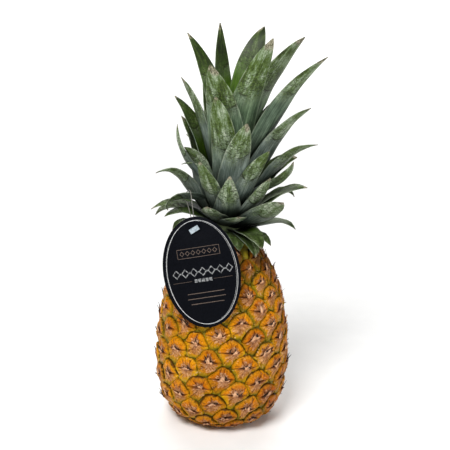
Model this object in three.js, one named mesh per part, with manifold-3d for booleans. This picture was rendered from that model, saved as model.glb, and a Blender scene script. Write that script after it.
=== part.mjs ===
// A whole pineapple as sold: the fruit with its eyes, the leafy crown, the cut stalk in its base,
// and an oval hang tag on a thin cord. Millimetres, +Z up. The origin is the middle of the flat
// base that the fruit stands on, and the front of the fruit faces -Y.
import * as THREE from 'three';
import { mergeVertices } from 'three/addons/utils/BufferGeometryUtils.js';
import Module from 'manifold-3d';

const wasm = await Module();
wasm.setup();

// ---- Driving dimensions ---------------------------------------------------------------------

const TOUCH_GAP = 0.3;
const GOLDEN_FRACTION = 0.618;

// Outline of the fruit over the crests of its eyes, as (radius, height). It starts below the
// ground plane, where the base is cut flat, and ends under the crown.
const FRUIT_OUTLINE = [
  [3, -9], [16, -5.5], [30, 0], [43.5, 6.5], [51.8, 16], [57, 29], [59.8, 46], [60.3, 66],
  [59, 86], [56.6, 105], [52.5, 123], [46, 141], [37, 157.5], [27, 169], [16, 174.5],
];
const FRUIT_TOP = 174;
const FRUIT_NECK_RADIUS = 19;
const NECK_SIDES = 28;

// Eyes stand on a spiral: each one is turned on by the divergence and set a little further up
// the outline. The steps get shorter towards the crown.
const DIVERGENCE = 137.54;
const FIRST_AZIMUTH = 323.7;
const FIRST_ARC = 37.9;
const ARC_STEP = 1.28;
const ARC_STEP_LOSS = 0.00066;
const LOWEST_EYE = -18;
const HIGHEST_EYE = 150;

// Relief of one eye, measured out from the crest outline.
const GROOVE_LIFT = -3.4;
const SHOULDER_LIFT = -0.3;
const DOME_LIFT = 0.7;
const SLIT_LIFT = -1.7;
const BRACT_TIP_LIFT = 2.6;
const SHOULDER_SCALE = 0.7;

// The cut stalk in a socket of the base.
const STALK_RADIUS = 13;
const STALK_DEPTH = 9;
const STALK_SIDES = 28;

// The crown's stem leans a little to the right of the fruit's axis.
const CROWN_BASE = FRUIT_TOP + TOUCH_GAP;
const CROWN_LEAN = Math.tan(THREE.MathUtils.degToRad(4.5));
const STEM_TOP = 248;
const STEM_RADIUS = [18, 9];
const STEM_SIDES = 16;

// Leaves. Each row is one leaf: azimuth from the front towards the right in degrees, root height,
// angle of the root from upright, reach of the tip from the stem's axis, tip height, angle of the
// tip from upright, width, turn of the face about the leaf's own line, sideways sway, and
// fullness, which is small for a leaf that tapers all the way and large for one with shoulders.
const SHOWN_LEAVES = [
  [-132, 238, 20, 60, 350, 42, 22, 20, 7, 2.6],
  [-152, 239, 24, 36, 360, 0, 23, -10, 5, 3],
  [-14, 216, 20, 44, 332, 14, 33, 0, -16, 4.5],
  [-11, 203, 20, 44, 306, 12, 24, 0, -11, 6],
  [149, 241, 14, 35, 357, 40, 30, -10, 0, 4],
  [6, 224, 18, 42, 355, 12, 27, 0, 19, 5],
  [98, 230, 11, 54, 351, 42, 34, 45, 1, 3.6],
  [47, 220, 30, 85, 342, 50, 23, 20, 10, 2.6],
  [60, 205, 31, 71, 297, 56, 23, 25, 0, 2.8],
  [2, 196, 30, 52, 286, 16, 25, 0, 7, 5],
  [72, 197, 47, 76, 263, 80, 19, 30, 0, 3],
  [92, 198, 54, 58, 246, 85, 22, -35, 0, 4],
  [20, 193, 42, 50, 261, 30, 17, 20, 14, 5],
  [70, 197, 26, 57, 247, 8, 20, 28, 0, 3],
  [80, 188, 65, 70, 222, 95, 16, -20, 0, 4],
  [84, 187, 56, 59, 212, 150, 18, -8, 0, 3],
  [36, 186, 50, 52, 237, 26, 16, 15, 4, 4],
  [0, 186, 46, 48, 240, 10, 26, 0, -1, 2.4],
  [-20, 190, 36, 54, 252, 18, 18, 0, -10, 5],
  [-76, 187, 47, 68, 235, 110, 24, -28, 5, 2.6],
  [-104, 210, 28, 57, 297, 46, 25, 16, 0, 3.2],
  [-81, 214, 22, 51, 317, 34, 18, -22, 0, 5],
  [-96, 204, 38, 48, 281, 32, 26, 15, 0, 3.4],
  [-70, 202, 22, 53, 278, 0, 11, -25, 0, 3],
  [-66, 196, 44, 46, 258, 60, 24, -40, 0, 3],
  [-70, 192, 50, 46, 242, 104, 14, -20, 0, 4],
  [-72, 202, 58, 54, 201, 208, 26, -25, 0, 2.6],
  [-108, 188, 55, 70, 192, 128, 12, 24, 5, 3],
  [-92, 186, 62, 63, 191, 142, 20, -30, 0, 3],
  [-76, 187, 64, 56, 194, 125, 14, 15, 0, 3],
  [-58, 185, 76, 54, 186, 150, 22, -18, 0, 3],
  [-22, 185, 40, 48, 212, 34, 24, 0, 0, 4],
  [14, 184, 52, 46, 203, 56, 24, 0, 0, 4],
  [46, 182, 64, 65, 217, 52, 25, 34, 0, 5],
  [78, 181, 87, 64, 184, 134, 19, 0, 0, 3.4],
  [60, 181, 104, 48, 172, 140, 17, 0, 0, 3],
  [36, 181, 84, 56, 175, 142, 22, 0, 0, 3],
  [40, 181, 92, 45, 165, 160, 22, 0, 0, 3],
];
const HIDDEN_LEAVES = 18;
const HIDDEN_SPREAD = 120;
const PLAIN_FULLNESS = 2.6;
const COLLAR_LEAVES = 12;
const HEART_LEAVES = 6;
const LEAF_SEED = 11;
const LEAF_RIB_THICKNESS = 1.8;
const LEAF_EDGE_THICKNESS = 0.7;
const LEAF_ROOT_SINK = 4;
const SHORT_LEAF_STEPS = 3;
const LEAF_STEPS = 5;
const BENT_LEAF_STEPS = 6;
const BENT_LEAF_ANGLE = 80;

// The hang tag: an oval card with a hole near its upper end.
const TAG_HALF_LENGTH = 48.5;
const TAG_HALF_WIDTH = 33.5;
const TAG_THICKNESS = 0.9;
const TAG_SEGMENTS = 48;
const TAG_HOLE_RADIUS = 2.2;
const TAG_HOLE_UP = 37.6;
const TAG_CENTRE = new THREE.Vector3(-18.5, -52.5, 155.9);
const TAG_LEAN_BACK = 10;
const TAG_YAW = -6;
const TAG_ROLL = 11.5;

// The small bar that stops the cord in front of the card.
const TAB_SIZE = [8.6, 4.2, 1.6];
const TAB_ROLL = 22;

// The cord: from the bar, through the hole, round one leaf of the crown, and back.
const CORD_RADIUS = 0.5;
const CORD_SIDES = 8;
const CORD_STEPS = 52;
const CORD_ROUTE = [
  [-24.3, -45.8, 192.4], [-24.1, -43.7, 192.1], [-25.6, -38, 197.5], [-27.6, -29.5, 207.5],
  [-29, -23.6, 215.6], [-29.7, -21.6, 219.2], [-31.4, -17.4, 219.6], [-34, -9.5, 215], [-36.8, -0.6, 211],
  [-37.9, 1.8, 208.4], [-37.1, -1.2, 206.2], [-33.5, -12.4, 207.9], [-31, -22, 204], [-28, -34.5, 197.2],
  [-26.2, -41, 193.4], [-25.9, -43.5, 191.8], [-26.1, -45.7, 192.1],
];

// ---- Small helpers --------------------------------------------------------------------------

const radians = THREE.MathUtils.degToRad;
const lerp = THREE.MathUtils.lerp;

/** A repeatable random number between 0 and 1 for each whole number. */
function noise(index, salt) {
  const wave = Math.sin(index * 12.9898 + salt * 78.233) * 43758.5453;
  return wave - Math.floor(wave);
}

/** A mesh geometry from lists of points and of triangles. */
function geometryOf(points, triangles) {
  const geometry = new THREE.BufferGeometry();
  geometry.setAttribute('position', new THREE.Float32BufferAttribute(points.flat(), 3));
  geometry.setIndex(triangles.flat());
  return geometry;
}

/** The manifold solid of a closed three.js geometry. */
function solidOf(geometry) {
  const bare = geometry.clone();
  bare.deleteAttribute('normal');
  bare.deleteAttribute('uv');
  const merged = mergeVertices(bare, 1e-4);
  return new wasm.Manifold(new wasm.Mesh({
    numProp: 3,
    vertProperties: new Float32Array(merged.attributes.position.array),
    triVerts: new Uint32Array(merged.index.array),
  }));
}

/** The three.js geometry of a manifold solid. */
function geometryOfSolid(solid) {
  const mesh = solid.getMesh();
  const geometry = new THREE.BufferGeometry();
  geometry.setAttribute('position', new THREE.BufferAttribute(mesh.vertProperties, 3));
  geometry.setIndex(new THREE.BufferAttribute(mesh.triVerts, 1));
  return geometry;
}

/** An upright cylinder between two heights. */
function upright(radius, low, high, sides) {
  const cylinder = new THREE.CylinderGeometry(radius, radius, high - low, sides);
  cylinder.rotateX(Math.PI / 2);
  cylinder.translate(0, 0, (low + high) / 2);
  return cylinder;
}

// ---- Fruit ----------------------------------------------------------------------------------

const outline = new THREE.SplineCurve(FRUIT_OUTLINE.map(([radius, height]) => (
  new THREE.Vector2(radius, height))));
outline.arcLengthDivisions = 600;
const outlineLength = outline.getLength();

/** Azimuth in degrees and arc along the outline of lattice point number k. */
function latticePoint(k) {
  return { azimuth: FIRST_AZIMUTH + k * DIVERGENCE, arc: FIRST_ARC + k * (ARC_STEP - ARC_STEP_LOSS * k) };
}

/** A point over the outline, from azimuth, arc and height above the surface. */
function rindPoint(azimuth, arc, lift) {
  const share = THREE.MathUtils.clamp(arc / outlineLength, 0, 1);
  const at = outline.getPointAt(share);
  const along = outline.getTangentAt(share);
  const radius = at.x + along.y * lift;
  const angle = radians(azimuth);
  return [radius * Math.sin(angle), -radius * Math.cos(angle), at.y - along.x * lift];
}

/** Six corners of the cell round point k, anticlockwise from upper right, as turn and arc offsets. */
function cellCorners(k) {
  const here = latticePoint(k);
  // Each corner is the middle of three neighbouring points, given by their numbers less k. The
  // turns of those neighbours are taken the short way round.
  const trios = [[0, 8, 21], [0, 13, 21], [-8, 0, 13], [-21, -8, 0], [-21, -13, 0], [-13, 0, 8]];
  return trios.map((trio) => {
    let turn = 0;
    let arc = 0;
    for (const step of trio) {
      const full = step * DIVERGENCE;
      turn += (full - 360 * Math.round(full / 360)) / 3;
      arc += (latticePoint(k + step).arc - here.arc) / 3;
    }
    return { turn, arc, key: trio.map((step) => step + k).join() };
  });
}

/** The rind with its eyes, closed to the axis at both ends. */
function rindGeometry() {
  const points = [];
  const triangles = [];
  const grooves = new Map();
  const edges = new Map();

  const addPoint = (azimuth, arc, lift) => {
    points.push(rindPoint(azimuth, arc, lift));
    return points.length - 1;
  };

  for (let k = LOWEST_EYE; k <= HIGHEST_EYE; k += 1) {
    const { azimuth, arc } = latticePoint(k);
    const corners = cellCorners(k);
    const rim = corners.map((corner) => {
      if (!grooves.has(corner.key)) {
        grooves.set(corner.key, addPoint(azimuth + corner.turn, arc + corner.arc, GROOVE_LIFT));
      }
      return grooves.get(corner.key);
    });
    const shoulder = corners.map((corner) => addPoint(
      azimuth + corner.turn * SHOULDER_SCALE, arc + corner.arc * SHOULDER_SCALE, SHOULDER_LIFT));
    const dome = addPoint(azimuth + corners[0].turn * 0.3, arc + corners[1].arc * 0.42, DOME_LIFT);
    const slit = addPoint(azimuth, arc + corners[1].arc * 0.16, SLIT_LIFT);
    const bractTip = addPoint(azimuth, arc + corners[1].arc * 0.08, BRACT_TIP_LIFT);

    for (let i = 0; i < 6; i += 1) {
      const next = (i + 1) % 6;
      triangles.push([rim[i], rim[next], shoulder[next]], [rim[i], shoulder[next], shoulder[i]]);
      edges.set(`${rim[i]},${rim[next]}`, [rim[i], rim[next]]);
    }
    const [upperRight, top, left, lowerLeft, bottom, right] = shoulder;
    triangles.push([dome, upperRight, top], [dome, top, left], [dome, left, slit]);
    triangles.push([dome, slit, right], [dome, right, upperRight]);
    triangles.push([slit, left, bractTip], [slit, bractTip, right]);
    triangles.push([bractTip, left, lowerLeft], [bractTip, lowerLeft, bottom], [bractTip, bottom, right]);
  }

  // Edges that only one cell has are the two ragged ends. Each end closes to a point on the axis.
  const low = points.push([0, 0, FRUIT_OUTLINE[0][1] - 1]) - 1;
  const high = points.push([0, 0, FRUIT_TOP - 4]) - 1;
  for (const [from, to] of edges.values()) {
    if (!edges.has(`${to},${from}`)) {
      const centre = points[from][2] < FRUIT_TOP / 2 ? low : high;
      triangles.push([to, from, centre]);
    }
  }
  return geometryOf(points, triangles);
}

/** The fruit: the rind with a neck under the crown, cut flat below, with a socket for the stalk. */
function fruitGeometry() {
  const neck = solidOf(upright(FRUIT_NECK_RADIUS, FRUIT_TOP - 24, FRUIT_TOP, NECK_SIDES));
  const ground = solidOf(upright(100, -30, 0, 4));
  const above = solidOf(upright(100, FRUIT_TOP, FRUIT_TOP + 20, 4));
  const socket = solidOf(upright(STALK_RADIUS + TOUCH_GAP, -10, STALK_DEPTH + TOUCH_GAP, STALK_SIDES));
  const fruit = solidOf(rindGeometry()).add(neck).subtract(ground).subtract(above).subtract(socket);
  return geometryOfSolid(fruit);
}

/** The cut stalk, with a small bevel round the face that stands on the ground. */
function stalkGeometry() {
  const profile = [
    [0, 0], [STALK_RADIUS - 0.8, 0], [STALK_RADIUS, 0.8], [STALK_RADIUS, STALK_DEPTH], [0, STALK_DEPTH],
  ].map(([radius, height]) => new THREE.Vector2(radius, height));
  const stalk = new THREE.LatheGeometry(profile, STALK_SIDES);
  stalk.rotateX(Math.PI / 2);
  return stalk;
}

// ---- Crown ----------------------------------------------------------------------------------

/** Width of a leaf of some fullness as a share of its widest, from root (0) to tip (1). */
function leafBreadth(t, fullness) {
  const belly = Math.min(t / 0.4, 1);
  return Math.max((1 - t ** fullness) ** 0.75, 0.05) * (0.74 + 0.26 * belly * (2 - belly));
}

/** Radius of the crown's stem at a height. */
function stemRadius(height) {
  const share = THREE.MathUtils.clamp((height - CROWN_BASE) / (STEM_TOP - CROWN_BASE), 0, 1);
  return lerp(STEM_RADIUS[0], STEM_RADIUS[1], share);
}

/** Centre, outward normal, side direction and breadth of a leaf at a share of its length. */
function leafSection(leaf, t) {
  const [azimuth, rootHeight, rootAngle, reach, tipHeight, tipAngle, width, turn, sway, fullness] = leaf;
  const root = new THREE.Vector2(stemRadius(rootHeight) - LEAF_ROOT_SINK, rootHeight);
  const tip = new THREE.Vector2(reach, tipHeight);
  const handle = 0.38 * root.distanceTo(tip);
  const direction = (angle) => new THREE.Vector2(Math.sin(radians(angle)), Math.cos(radians(angle)));
  const rise = root.clone().addScaledVector(direction(rootAngle), handle);
  const fall = tip.clone().addScaledVector(direction(tipAngle), -handle);
  const line = new THREE.CubicBezierCurve(root, rise, fall, tip);
  const at = line.getPoint(t);
  const along = line.getTangent(t);

  const angle = radians(azimuth);
  const outward = new THREE.Vector3(Math.sin(angle), -Math.cos(angle), 0);
  const sideways = new THREE.Vector3(Math.cos(angle), Math.sin(angle), 0);
  const upward = new THREE.Vector3(0, 0, 1);
  const centre = outward.clone().multiplyScalar(at.x).addScaledVector(sideways, sway * t ** 3);
  centre.x += CROWN_LEAN * (at.y - CROWN_BASE);
  centre.z = at.y;
  const flatNormal = outward.clone().multiplyScalar(along.y).addScaledVector(upward, -along.x);
  const spin = radians(turn) * THREE.MathUtils.smoothstep(t, 0, 0.5);
  const side = sideways.clone().multiplyScalar(Math.cos(spin)).addScaledVector(flatNormal, Math.sin(spin));
  const normal = flatNormal.multiplyScalar(Math.cos(spin)).addScaledVector(sideways, -Math.sin(spin));
  return { centre, normal, side, breadth: width * leafBreadth(t, fullness), cup: 0.2 * (1 - 0.5 * t) };
}

/** Stretches along a leaf: more for a sharply bent one, fewer for a short one. */
function leafSteps(leaf) {
  if (leaf[3] < 40 && leaf[4] - leaf[1] < 80) {
    return SHORT_LEAF_STEPS;
  }
  return Math.abs(leaf[5] - leaf[2]) > BENT_LEAF_ANGLE ? BENT_LEAF_STEPS : LEAF_STEPS;
}

/** One leaf as a closed solid: a trough-shaped blade, thick at its rib and thin at its edges. */
function leafGeometry(leaf) {
  const steps = leafSteps(leaf);
  const points = [];
  const triangles = [];
  for (let i = 0; i <= steps; i += 1) {
    const share = i / steps;
    const { centre, normal, side, breadth, cup } = leafSection(leaf, share * (1.25 - 0.25 * share));
    const rib = Math.min(LEAF_RIB_THICKNESS, 0.5 + 0.15 * breadth);
    for (const [across, thickness] of [
      [-1, 0], [0, 0], [1, 0], [1, LEAF_EDGE_THICKNESS], [0, Math.max(rib, LEAF_EDGE_THICKNESS)],
      [-1, LEAF_EDGE_THICKNESS],
    ]) {
      const inward = across * across * cup * breadth + thickness;
      const point = centre.clone().addScaledVector(side, across * breadth / 2);
      points.push(point.addScaledVector(normal, -inward).toArray());
    }
  }
  const ring = 6;
  for (let i = 0; i < steps; i += 1) {
    for (let j = 0; j < ring; j += 1) {
      const a = i * ring + j;
      const b = i * ring + (j + 1) % ring;
      // Both faces are split along the same diagonals, so that a thin blade never meets itself.
      if (j === 3 || j === 4) {
        triangles.push([a, b, a + ring], [b, b + ring, a + ring]);
      } else {
        triangles.push([a, b, b + ring], [a, b + ring, a + ring]);
      }
    }
  }
  const end = steps * ring;
  for (const [p, q, r] of [[0, 5, 4], [0, 4, 1], [1, 4, 3], [1, 3, 2]]) {
    triangles.push([p, q, r], [end + p, end + r, end + q]);
  }
  return geometryOf(points, triangles);
}

/** Leaves round the back of the crown, from the base towards the heart. */
function hiddenLeaves() {
  const leaves = [];
  for (let i = 0; i < HIDDEN_LEAVES; i += 1) {
    const share = i / (HIDDEN_LEAVES - 1);
    const offset = ((i * GOLDEN_FRACTION) % 1 - 0.5) * HIDDEN_SPREAD;
    const reach = (42 + 22 * Math.cos(radians(offset))) * (1 - 0.25 * share) + 8 * noise(i, LEAF_SEED) - 4;
    const tipHeight = 190 + 128 * share ** 0.8 + 14 * noise(i, LEAF_SEED + 1) - 7;
    const width = 24 + 3 * noise(i, LEAF_SEED + 2);
    const turn = 24 * noise(i, LEAF_SEED + 3) - 12;
    leaves.push([
      180 + offset, 184 + 50 * share, 70 - 52 * share, reach, tipHeight, 130 - 115 * share, width, turn, 0,
      PLAIN_FULLNESS,
    ]);
  }
  return leaves;
}

/** Short leaves that fold down over the shoulder of the fruit, all round. */
function collarLeaves() {
  const leaves = [];
  for (let i = 0; i < COLLAR_LEAVES; i += 1) {
    const azimuth = 15 + (360 * i) / COLLAR_LEAVES + 12 * noise(i, LEAF_SEED + 4);
    const reach = 33 + 4 * noise(i, LEAF_SEED + 5);
    leaves.push([azimuth, 179, 66, reach, 167 + 4 * noise(i, LEAF_SEED + 6), 155, 18, 0, 0, PLAIN_FULLNESS]);
  }
  return leaves;
}

/** Young upright leaves in the heart of the crown. */
function heartLeaves() {
  const leaves = [];
  for (let i = 0; i < HEART_LEAVES; i += 1) {
    const share = i / (HEART_LEAVES - 1);
    leaves.push([
      60 + i * DIVERGENCE, 236 + 6 * share, 8, 20 - 9 * share, 284 + 18 * share, 6, 19 - 4 * share, 0, 0,
      PLAIN_FULLNESS,
    ]);
  }
  return leaves;
}

/** The crown's stem: a leaning cone with a flat foot on the fruit's neck. */
function crownStemGeometry() {
  const height = STEM_TOP - CROWN_BASE;
  const stem = new THREE.CylinderGeometry(STEM_RADIUS[1], STEM_RADIUS[0], height, STEM_SIDES);
  stem.rotateX(Math.PI / 2);
  stem.translate(0, 0, height / 2);
  const shear = new THREE.Matrix4().set(1, 0, CROWN_LEAN, 0, 0, 1, 0, 0, 0, 0, 1, CROWN_BASE, 0, 0, 0, 1);
  stem.applyMatrix4(shear);
  return stem;
}

/** The crown: every leaf joined to the stem, with the pockets between leaf roots filled. */
function crownGeometry() {
  let crown = solidOf(crownStemGeometry());
  for (const leaf of [...SHOWN_LEAVES, ...hiddenLeaves(), ...collarLeaves(), ...heartLeaves()]) {
    crown = crown.add(solidOf(leafGeometry(leaf)));
  }
  const bodies = crown.decompose();
  bodies.sort((a, b) => b.volume() - a.volume());
  return geometryOfSolid(bodies[0]);
}

// ---- Hang tag -------------------------------------------------------------------------------

/** The card: an oval sheet with a hole, its front face at +Z of its own frame. */
function tagGeometry() {
  const oval = new THREE.Shape();
  oval.absellipse(0, 0, TAG_HALF_WIDTH, TAG_HALF_LENGTH, 0, 2 * Math.PI, false, 0);
  const hole = new THREE.Path();
  hole.absarc(0, TAG_HOLE_UP, TAG_HOLE_RADIUS, 0, 2 * Math.PI, true);
  oval.holes.push(hole);
  const card = new THREE.ExtrudeGeometry(oval, {
    depth: TAG_THICKNESS, bevelEnabled: false, curveSegments: TAG_SEGMENTS / 2,
  });
  card.translate(0, 0, -TAG_THICKNESS / 2);
  return card;
}

/** The cord: a tube along its route, closed at both ends. */
function cordGeometry() {
  const route = new THREE.CatmullRomCurve3(CORD_ROUTE.map((point) => new THREE.Vector3(...point)));
  const section = new THREE.Shape();
  section.absarc(0, 0, CORD_RADIUS, 0, 2 * Math.PI, false);
  return new THREE.ExtrudeGeometry(section, {
    steps: CORD_STEPS, extrudePath: route, curveSegments: CORD_SIDES / 2,
  });
}

// ---- Assembly -------------------------------------------------------------------------------

/** A named mesh with its own finish. */
function piece(name, geometry, colour, roughness, metalness = 0) {
  const material = new THREE.MeshStandardMaterial({ color: colour, roughness, metalness });
  material.name = `${name}_finish`;
  const mesh = new THREE.Mesh(geometry, material);
  mesh.name = name;
  return mesh;
}

const pineapple = new THREE.Group();
pineapple.add(piece('fruit', fruitGeometry(), 0xc98a22, 0.55));
pineapple.add(piece('cut_stem', stalkGeometry(), 0xb99a6a, 0.9));
pineapple.add(piece('crown', crownGeometry(), 0x7f9178, 0.6));

const tag = new THREE.Group();
tag.position.copy(TAG_CENTRE);
tag.rotation.set(radians(90 - TAG_LEAN_BACK), 0, radians(TAG_YAW), 'ZXY');
const tagFace = new THREE.Group();
tagFace.rotation.z = radians(TAG_ROLL);
tagFace.add(piece('tag_card', tagGeometry(), 0x17181c, 0.45));
tag.add(tagFace);
const tab = piece('tag_tab', new THREE.BoxGeometry(...TAB_SIZE), 0xb9c4cc, 0.4);
tab.position.set(0, TAG_HOLE_UP, TAG_THICKNESS / 2 + TOUCH_GAP + TAB_SIZE[2] / 2);
tab.rotation.z = radians(TAB_ROLL);
tagFace.add(tab);
pineapple.add(tag);
pineapple.add(piece('tag_cord', cordGeometry(), 0xd8d6cc, 0.5));

export default pineapple;
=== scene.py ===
"""A fresh pineapple: its rind of eyes, its crown of leaves and an oval hang tag on a cord."""

import logging
import math
from dataclasses import dataclass
from enum import Enum
from typing import Sequence

import bpy
import numpy as np
from mathutils import Matrix, Vector


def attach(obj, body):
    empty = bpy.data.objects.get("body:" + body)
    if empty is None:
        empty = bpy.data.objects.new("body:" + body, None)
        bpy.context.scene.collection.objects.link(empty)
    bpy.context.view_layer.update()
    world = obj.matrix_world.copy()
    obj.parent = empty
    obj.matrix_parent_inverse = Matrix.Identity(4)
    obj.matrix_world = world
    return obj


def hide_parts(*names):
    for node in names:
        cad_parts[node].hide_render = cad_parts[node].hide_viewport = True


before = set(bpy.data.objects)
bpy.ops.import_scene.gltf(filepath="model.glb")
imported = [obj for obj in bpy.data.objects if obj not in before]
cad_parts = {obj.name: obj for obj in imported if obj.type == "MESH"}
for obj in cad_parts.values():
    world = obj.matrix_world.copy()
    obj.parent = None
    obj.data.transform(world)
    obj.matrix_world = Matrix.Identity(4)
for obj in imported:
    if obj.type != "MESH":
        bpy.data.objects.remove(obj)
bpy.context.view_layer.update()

LOG = logging.getLogger("pineapple")
MM = 0.001
HASH = (12.9898, 78.233, 43758.5453)
SHARP_EDGE = 40.0

# Outline over the crests of the eyes, as (radius, height) in mm.
FRUIT_OUTLINE = (
    (3, -9), (16, -5.5), (30, 0), (43.5, 6.5), (51.8, 16), (57, 29), (59.8, 46), (60.3, 66),
    (59, 86), (56.6, 105), (52.5, 123), (46, 141), (37, 157.5), (27, 169), (16, 174.5),
)
FRUIT_TOP = 174.0
DIVERGENCE = 137.54
FIRST_AZIMUTH = 323.7
FIRST_ARC = 37.9
ARC_STEP = 1.28
ARC_STEP_LOSS = 0.00066
LOWEST_EYE = -18
HIGHEST_EYE = 150
NEIGHBOURS = (8, 13, 21)
NO_ARCH = -100.0

CROWN_BASE = 174.3
CROWN_LEAN = math.tan(math.radians(4.5))
STEM_TOP = 248.0
STEM_RADIUS = (18.0, 9.0)
LEAF_ROOT_SINK = 4.0
LEAF_HANDLE = 0.38
LEAF_SEED = 11

# Leaves that show: azimuth, root height, root angle, reach, tip height, tip angle, width, turn, sway,
# fullness.
SHOWN_LEAVES = (
    (-132, 238, 20, 60, 350, 42, 22, 20, 7, 2.6),
    (-152, 239, 24, 36, 360, 0, 23, -10, 5, 3),
    (-14, 216, 20, 44, 332, 14, 33, 0, -16, 4.5),
    (-11, 203, 20, 44, 306, 12, 24, 0, -11, 6),
    (149, 241, 14, 35, 357, 40, 30, -10, 0, 4),
    (6, 224, 18, 42, 355, 12, 27, 0, 19, 5),
    (98, 230, 11, 54, 351, 42, 34, 45, 1, 3.6),
    (47, 220, 30, 85, 342, 50, 23, 20, 10, 2.6),
    (60, 205, 31, 71, 297, 56, 23, 25, 0, 2.8),
    (2, 196, 30, 52, 286, 16, 25, 0, 7, 5),
    (72, 197, 47, 76, 263, 80, 19, 30, 0, 3),
    (92, 198, 54, 58, 246, 85, 22, -35, 0, 4),
    (20, 193, 42, 50, 261, 30, 17, 20, 14, 5),
    (70, 197, 26, 57, 247, 8, 20, 28, 0, 3),
    (80, 188, 65, 70, 222, 95, 16, -20, 0, 4),
    (84, 187, 56, 59, 212, 150, 18, -8, 0, 3),
    (36, 186, 50, 52, 237, 26, 16, 15, 4, 4),
    (0, 186, 46, 48, 240, 10, 26, 0, -1, 2.4),
    (-20, 190, 36, 54, 252, 18, 18, 0, -10, 5),
    (-76, 187, 47, 68, 235, 110, 24, -28, 5, 2.6),
    (-104, 210, 28, 57, 297, 46, 25, 16, 0, 3.2),
    (-81, 214, 22, 51, 317, 34, 18, -22, 0, 5),
    (-96, 204, 38, 48, 281, 32, 26, 15, 0, 3.4),
    (-70, 202, 22, 53, 278, 0, 11, -25, 0, 3),
    (-66, 196, 44, 46, 258, 60, 24, -40, 0, 3),
    (-70, 192, 50, 46, 242, 104, 14, -20, 0, 4),
    (-72, 202, 58, 54, 201, 208, 26, -25, 0, 2.6),
    (-108, 188, 55, 70, 192, 128, 12, 24, 5, 3),
    (-92, 186, 62, 63, 191, 142, 20, -30, 0, 3),
    (-76, 187, 64, 56, 194, 125, 14, 15, 0, 3),
    (-58, 185, 76, 54, 186, 150, 22, -18, 0, 3),
    (-22, 185, 40, 48, 212, 34, 24, 0, 0, 4),
    (14, 184, 52, 46, 203, 56, 24, 0, 0, 4),
    (46, 182, 64, 65, 217, 52, 25, 34, 0, 5),
    (78, 181, 87, 64, 184, 134, 19, 0, 0, 3.4),
    (60, 181, 104, 48, 172, 140, 17, 0, 0, 3),
    (36, 181, 84, 56, 175, 142, 22, 0, 0, 3),
    (40, 181, 92, 45, 165, 160, 22, 0, 0, 3),
)
HIDDEN_LEAVES = 18
HIDDEN_SPREAD = 120
PLAIN_FULLNESS = 2.6
COLLAR_LEAVES = 12
HEART_LEAVES = 6

TAG_CENTRE = (-18.5, -52.5, 155.9)
TAG_LEAN_BACK = 10.0
TAG_YAW = -6.0
TAG_ROLL = 11.5

# The cord: from the bar, through the hole, round one leaf of the crown, and back.
CORD_ROUTE = (
    (-24.3, -45.8, 192.4), (-24.1, -43.7, 192.1), (-25.6, -38, 197.5), (-27.6, -29.5, 207.5),
    (-29, -23.6, 215.6), (-29.7, -21.6, 219.2), (-31.4, -17.4, 219.6), (-34, -9.5, 215),
    (-36.8, -0.6, 211), (-37.9, 1.8, 208.4), (-37.1, -1.2, 206.2), (-33.5, -12.4, 207.9),
    (-31, -22, 204), (-28, -34.5, 197.2), (-26.2, -41, 193.4), (-25.9, -43.5, 191.8),
    (-26.1, -45.7, 192.1),
)

Row = Sequence[float]
Pair = tuple[float, float]
Number = float | np.ndarray
Stops = tuple[tuple[float, str], ...]
Piece = bpy.types.Object
Material = bpy.types.Material
Socket = bpy.types.NodeSocket


# ---- Numbers --------------------------------------------------------------------------------


def chance(index: Number, salt: float) -> Number:
    """Give repeatable random numbers between 0 and 1 for one number or an array, by a salt."""
    wave = np.sin(index * HASH[0] + salt * HASH[1]) * HASH[2]
    return wave - np.floor(wave)


def between(index: Number, salt: float, low: float, high: float) -> Number:
    """Give repeatable random numbers from low to high for one number or an array, by a salt."""
    return low + (high - low) * chance(index, salt)


def blend(pair: Pair, share: float) -> float:
    """Give the number that lies a share of the way from the first of a pair to the second."""
    return pair[0] + (pair[1] - pair[0]) * share


def smooth(value: np.ndarray, low: float, high: float) -> np.ndarray:
    """Ease from 0 at low to 1 at high; high may be less than low."""
    share = np.clip((value - low) / (high - low), 0.0, 1.0)
    return share * share * (3.0 - 2.0 * share)


def bell(value: np.ndarray, width: float) -> np.ndarray:
    """Give a bell curve of height 1 round 0."""
    return np.exp(-((value / width) ** 2))


def rounded(value: np.ndarray, radius: float) -> np.ndarray:
    """Rise from 0 to 1 along a quarter circle of a radius."""
    return np.sqrt(1 - (1 - np.clip(value / radius, 0, 1)) ** 2)


def linear(code: str) -> tuple[float, float, float, float]:
    """Turn a six-digit colour code into the linear colour that shaders use.

    Args:
        code: Red, green and blue, as two hexadecimal digits each.

    Returns:
        The colour, with an alpha of 1.
    """
    parts = [int(code[i : i + 2], 16) / 255 for i in (0, 2, 4)]
    flat = [c / 12.92 if c <= 0.04045 else ((c + 0.055) / 1.055) ** 2.4 for c in parts]
    return (*flat, 1.0)


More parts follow.
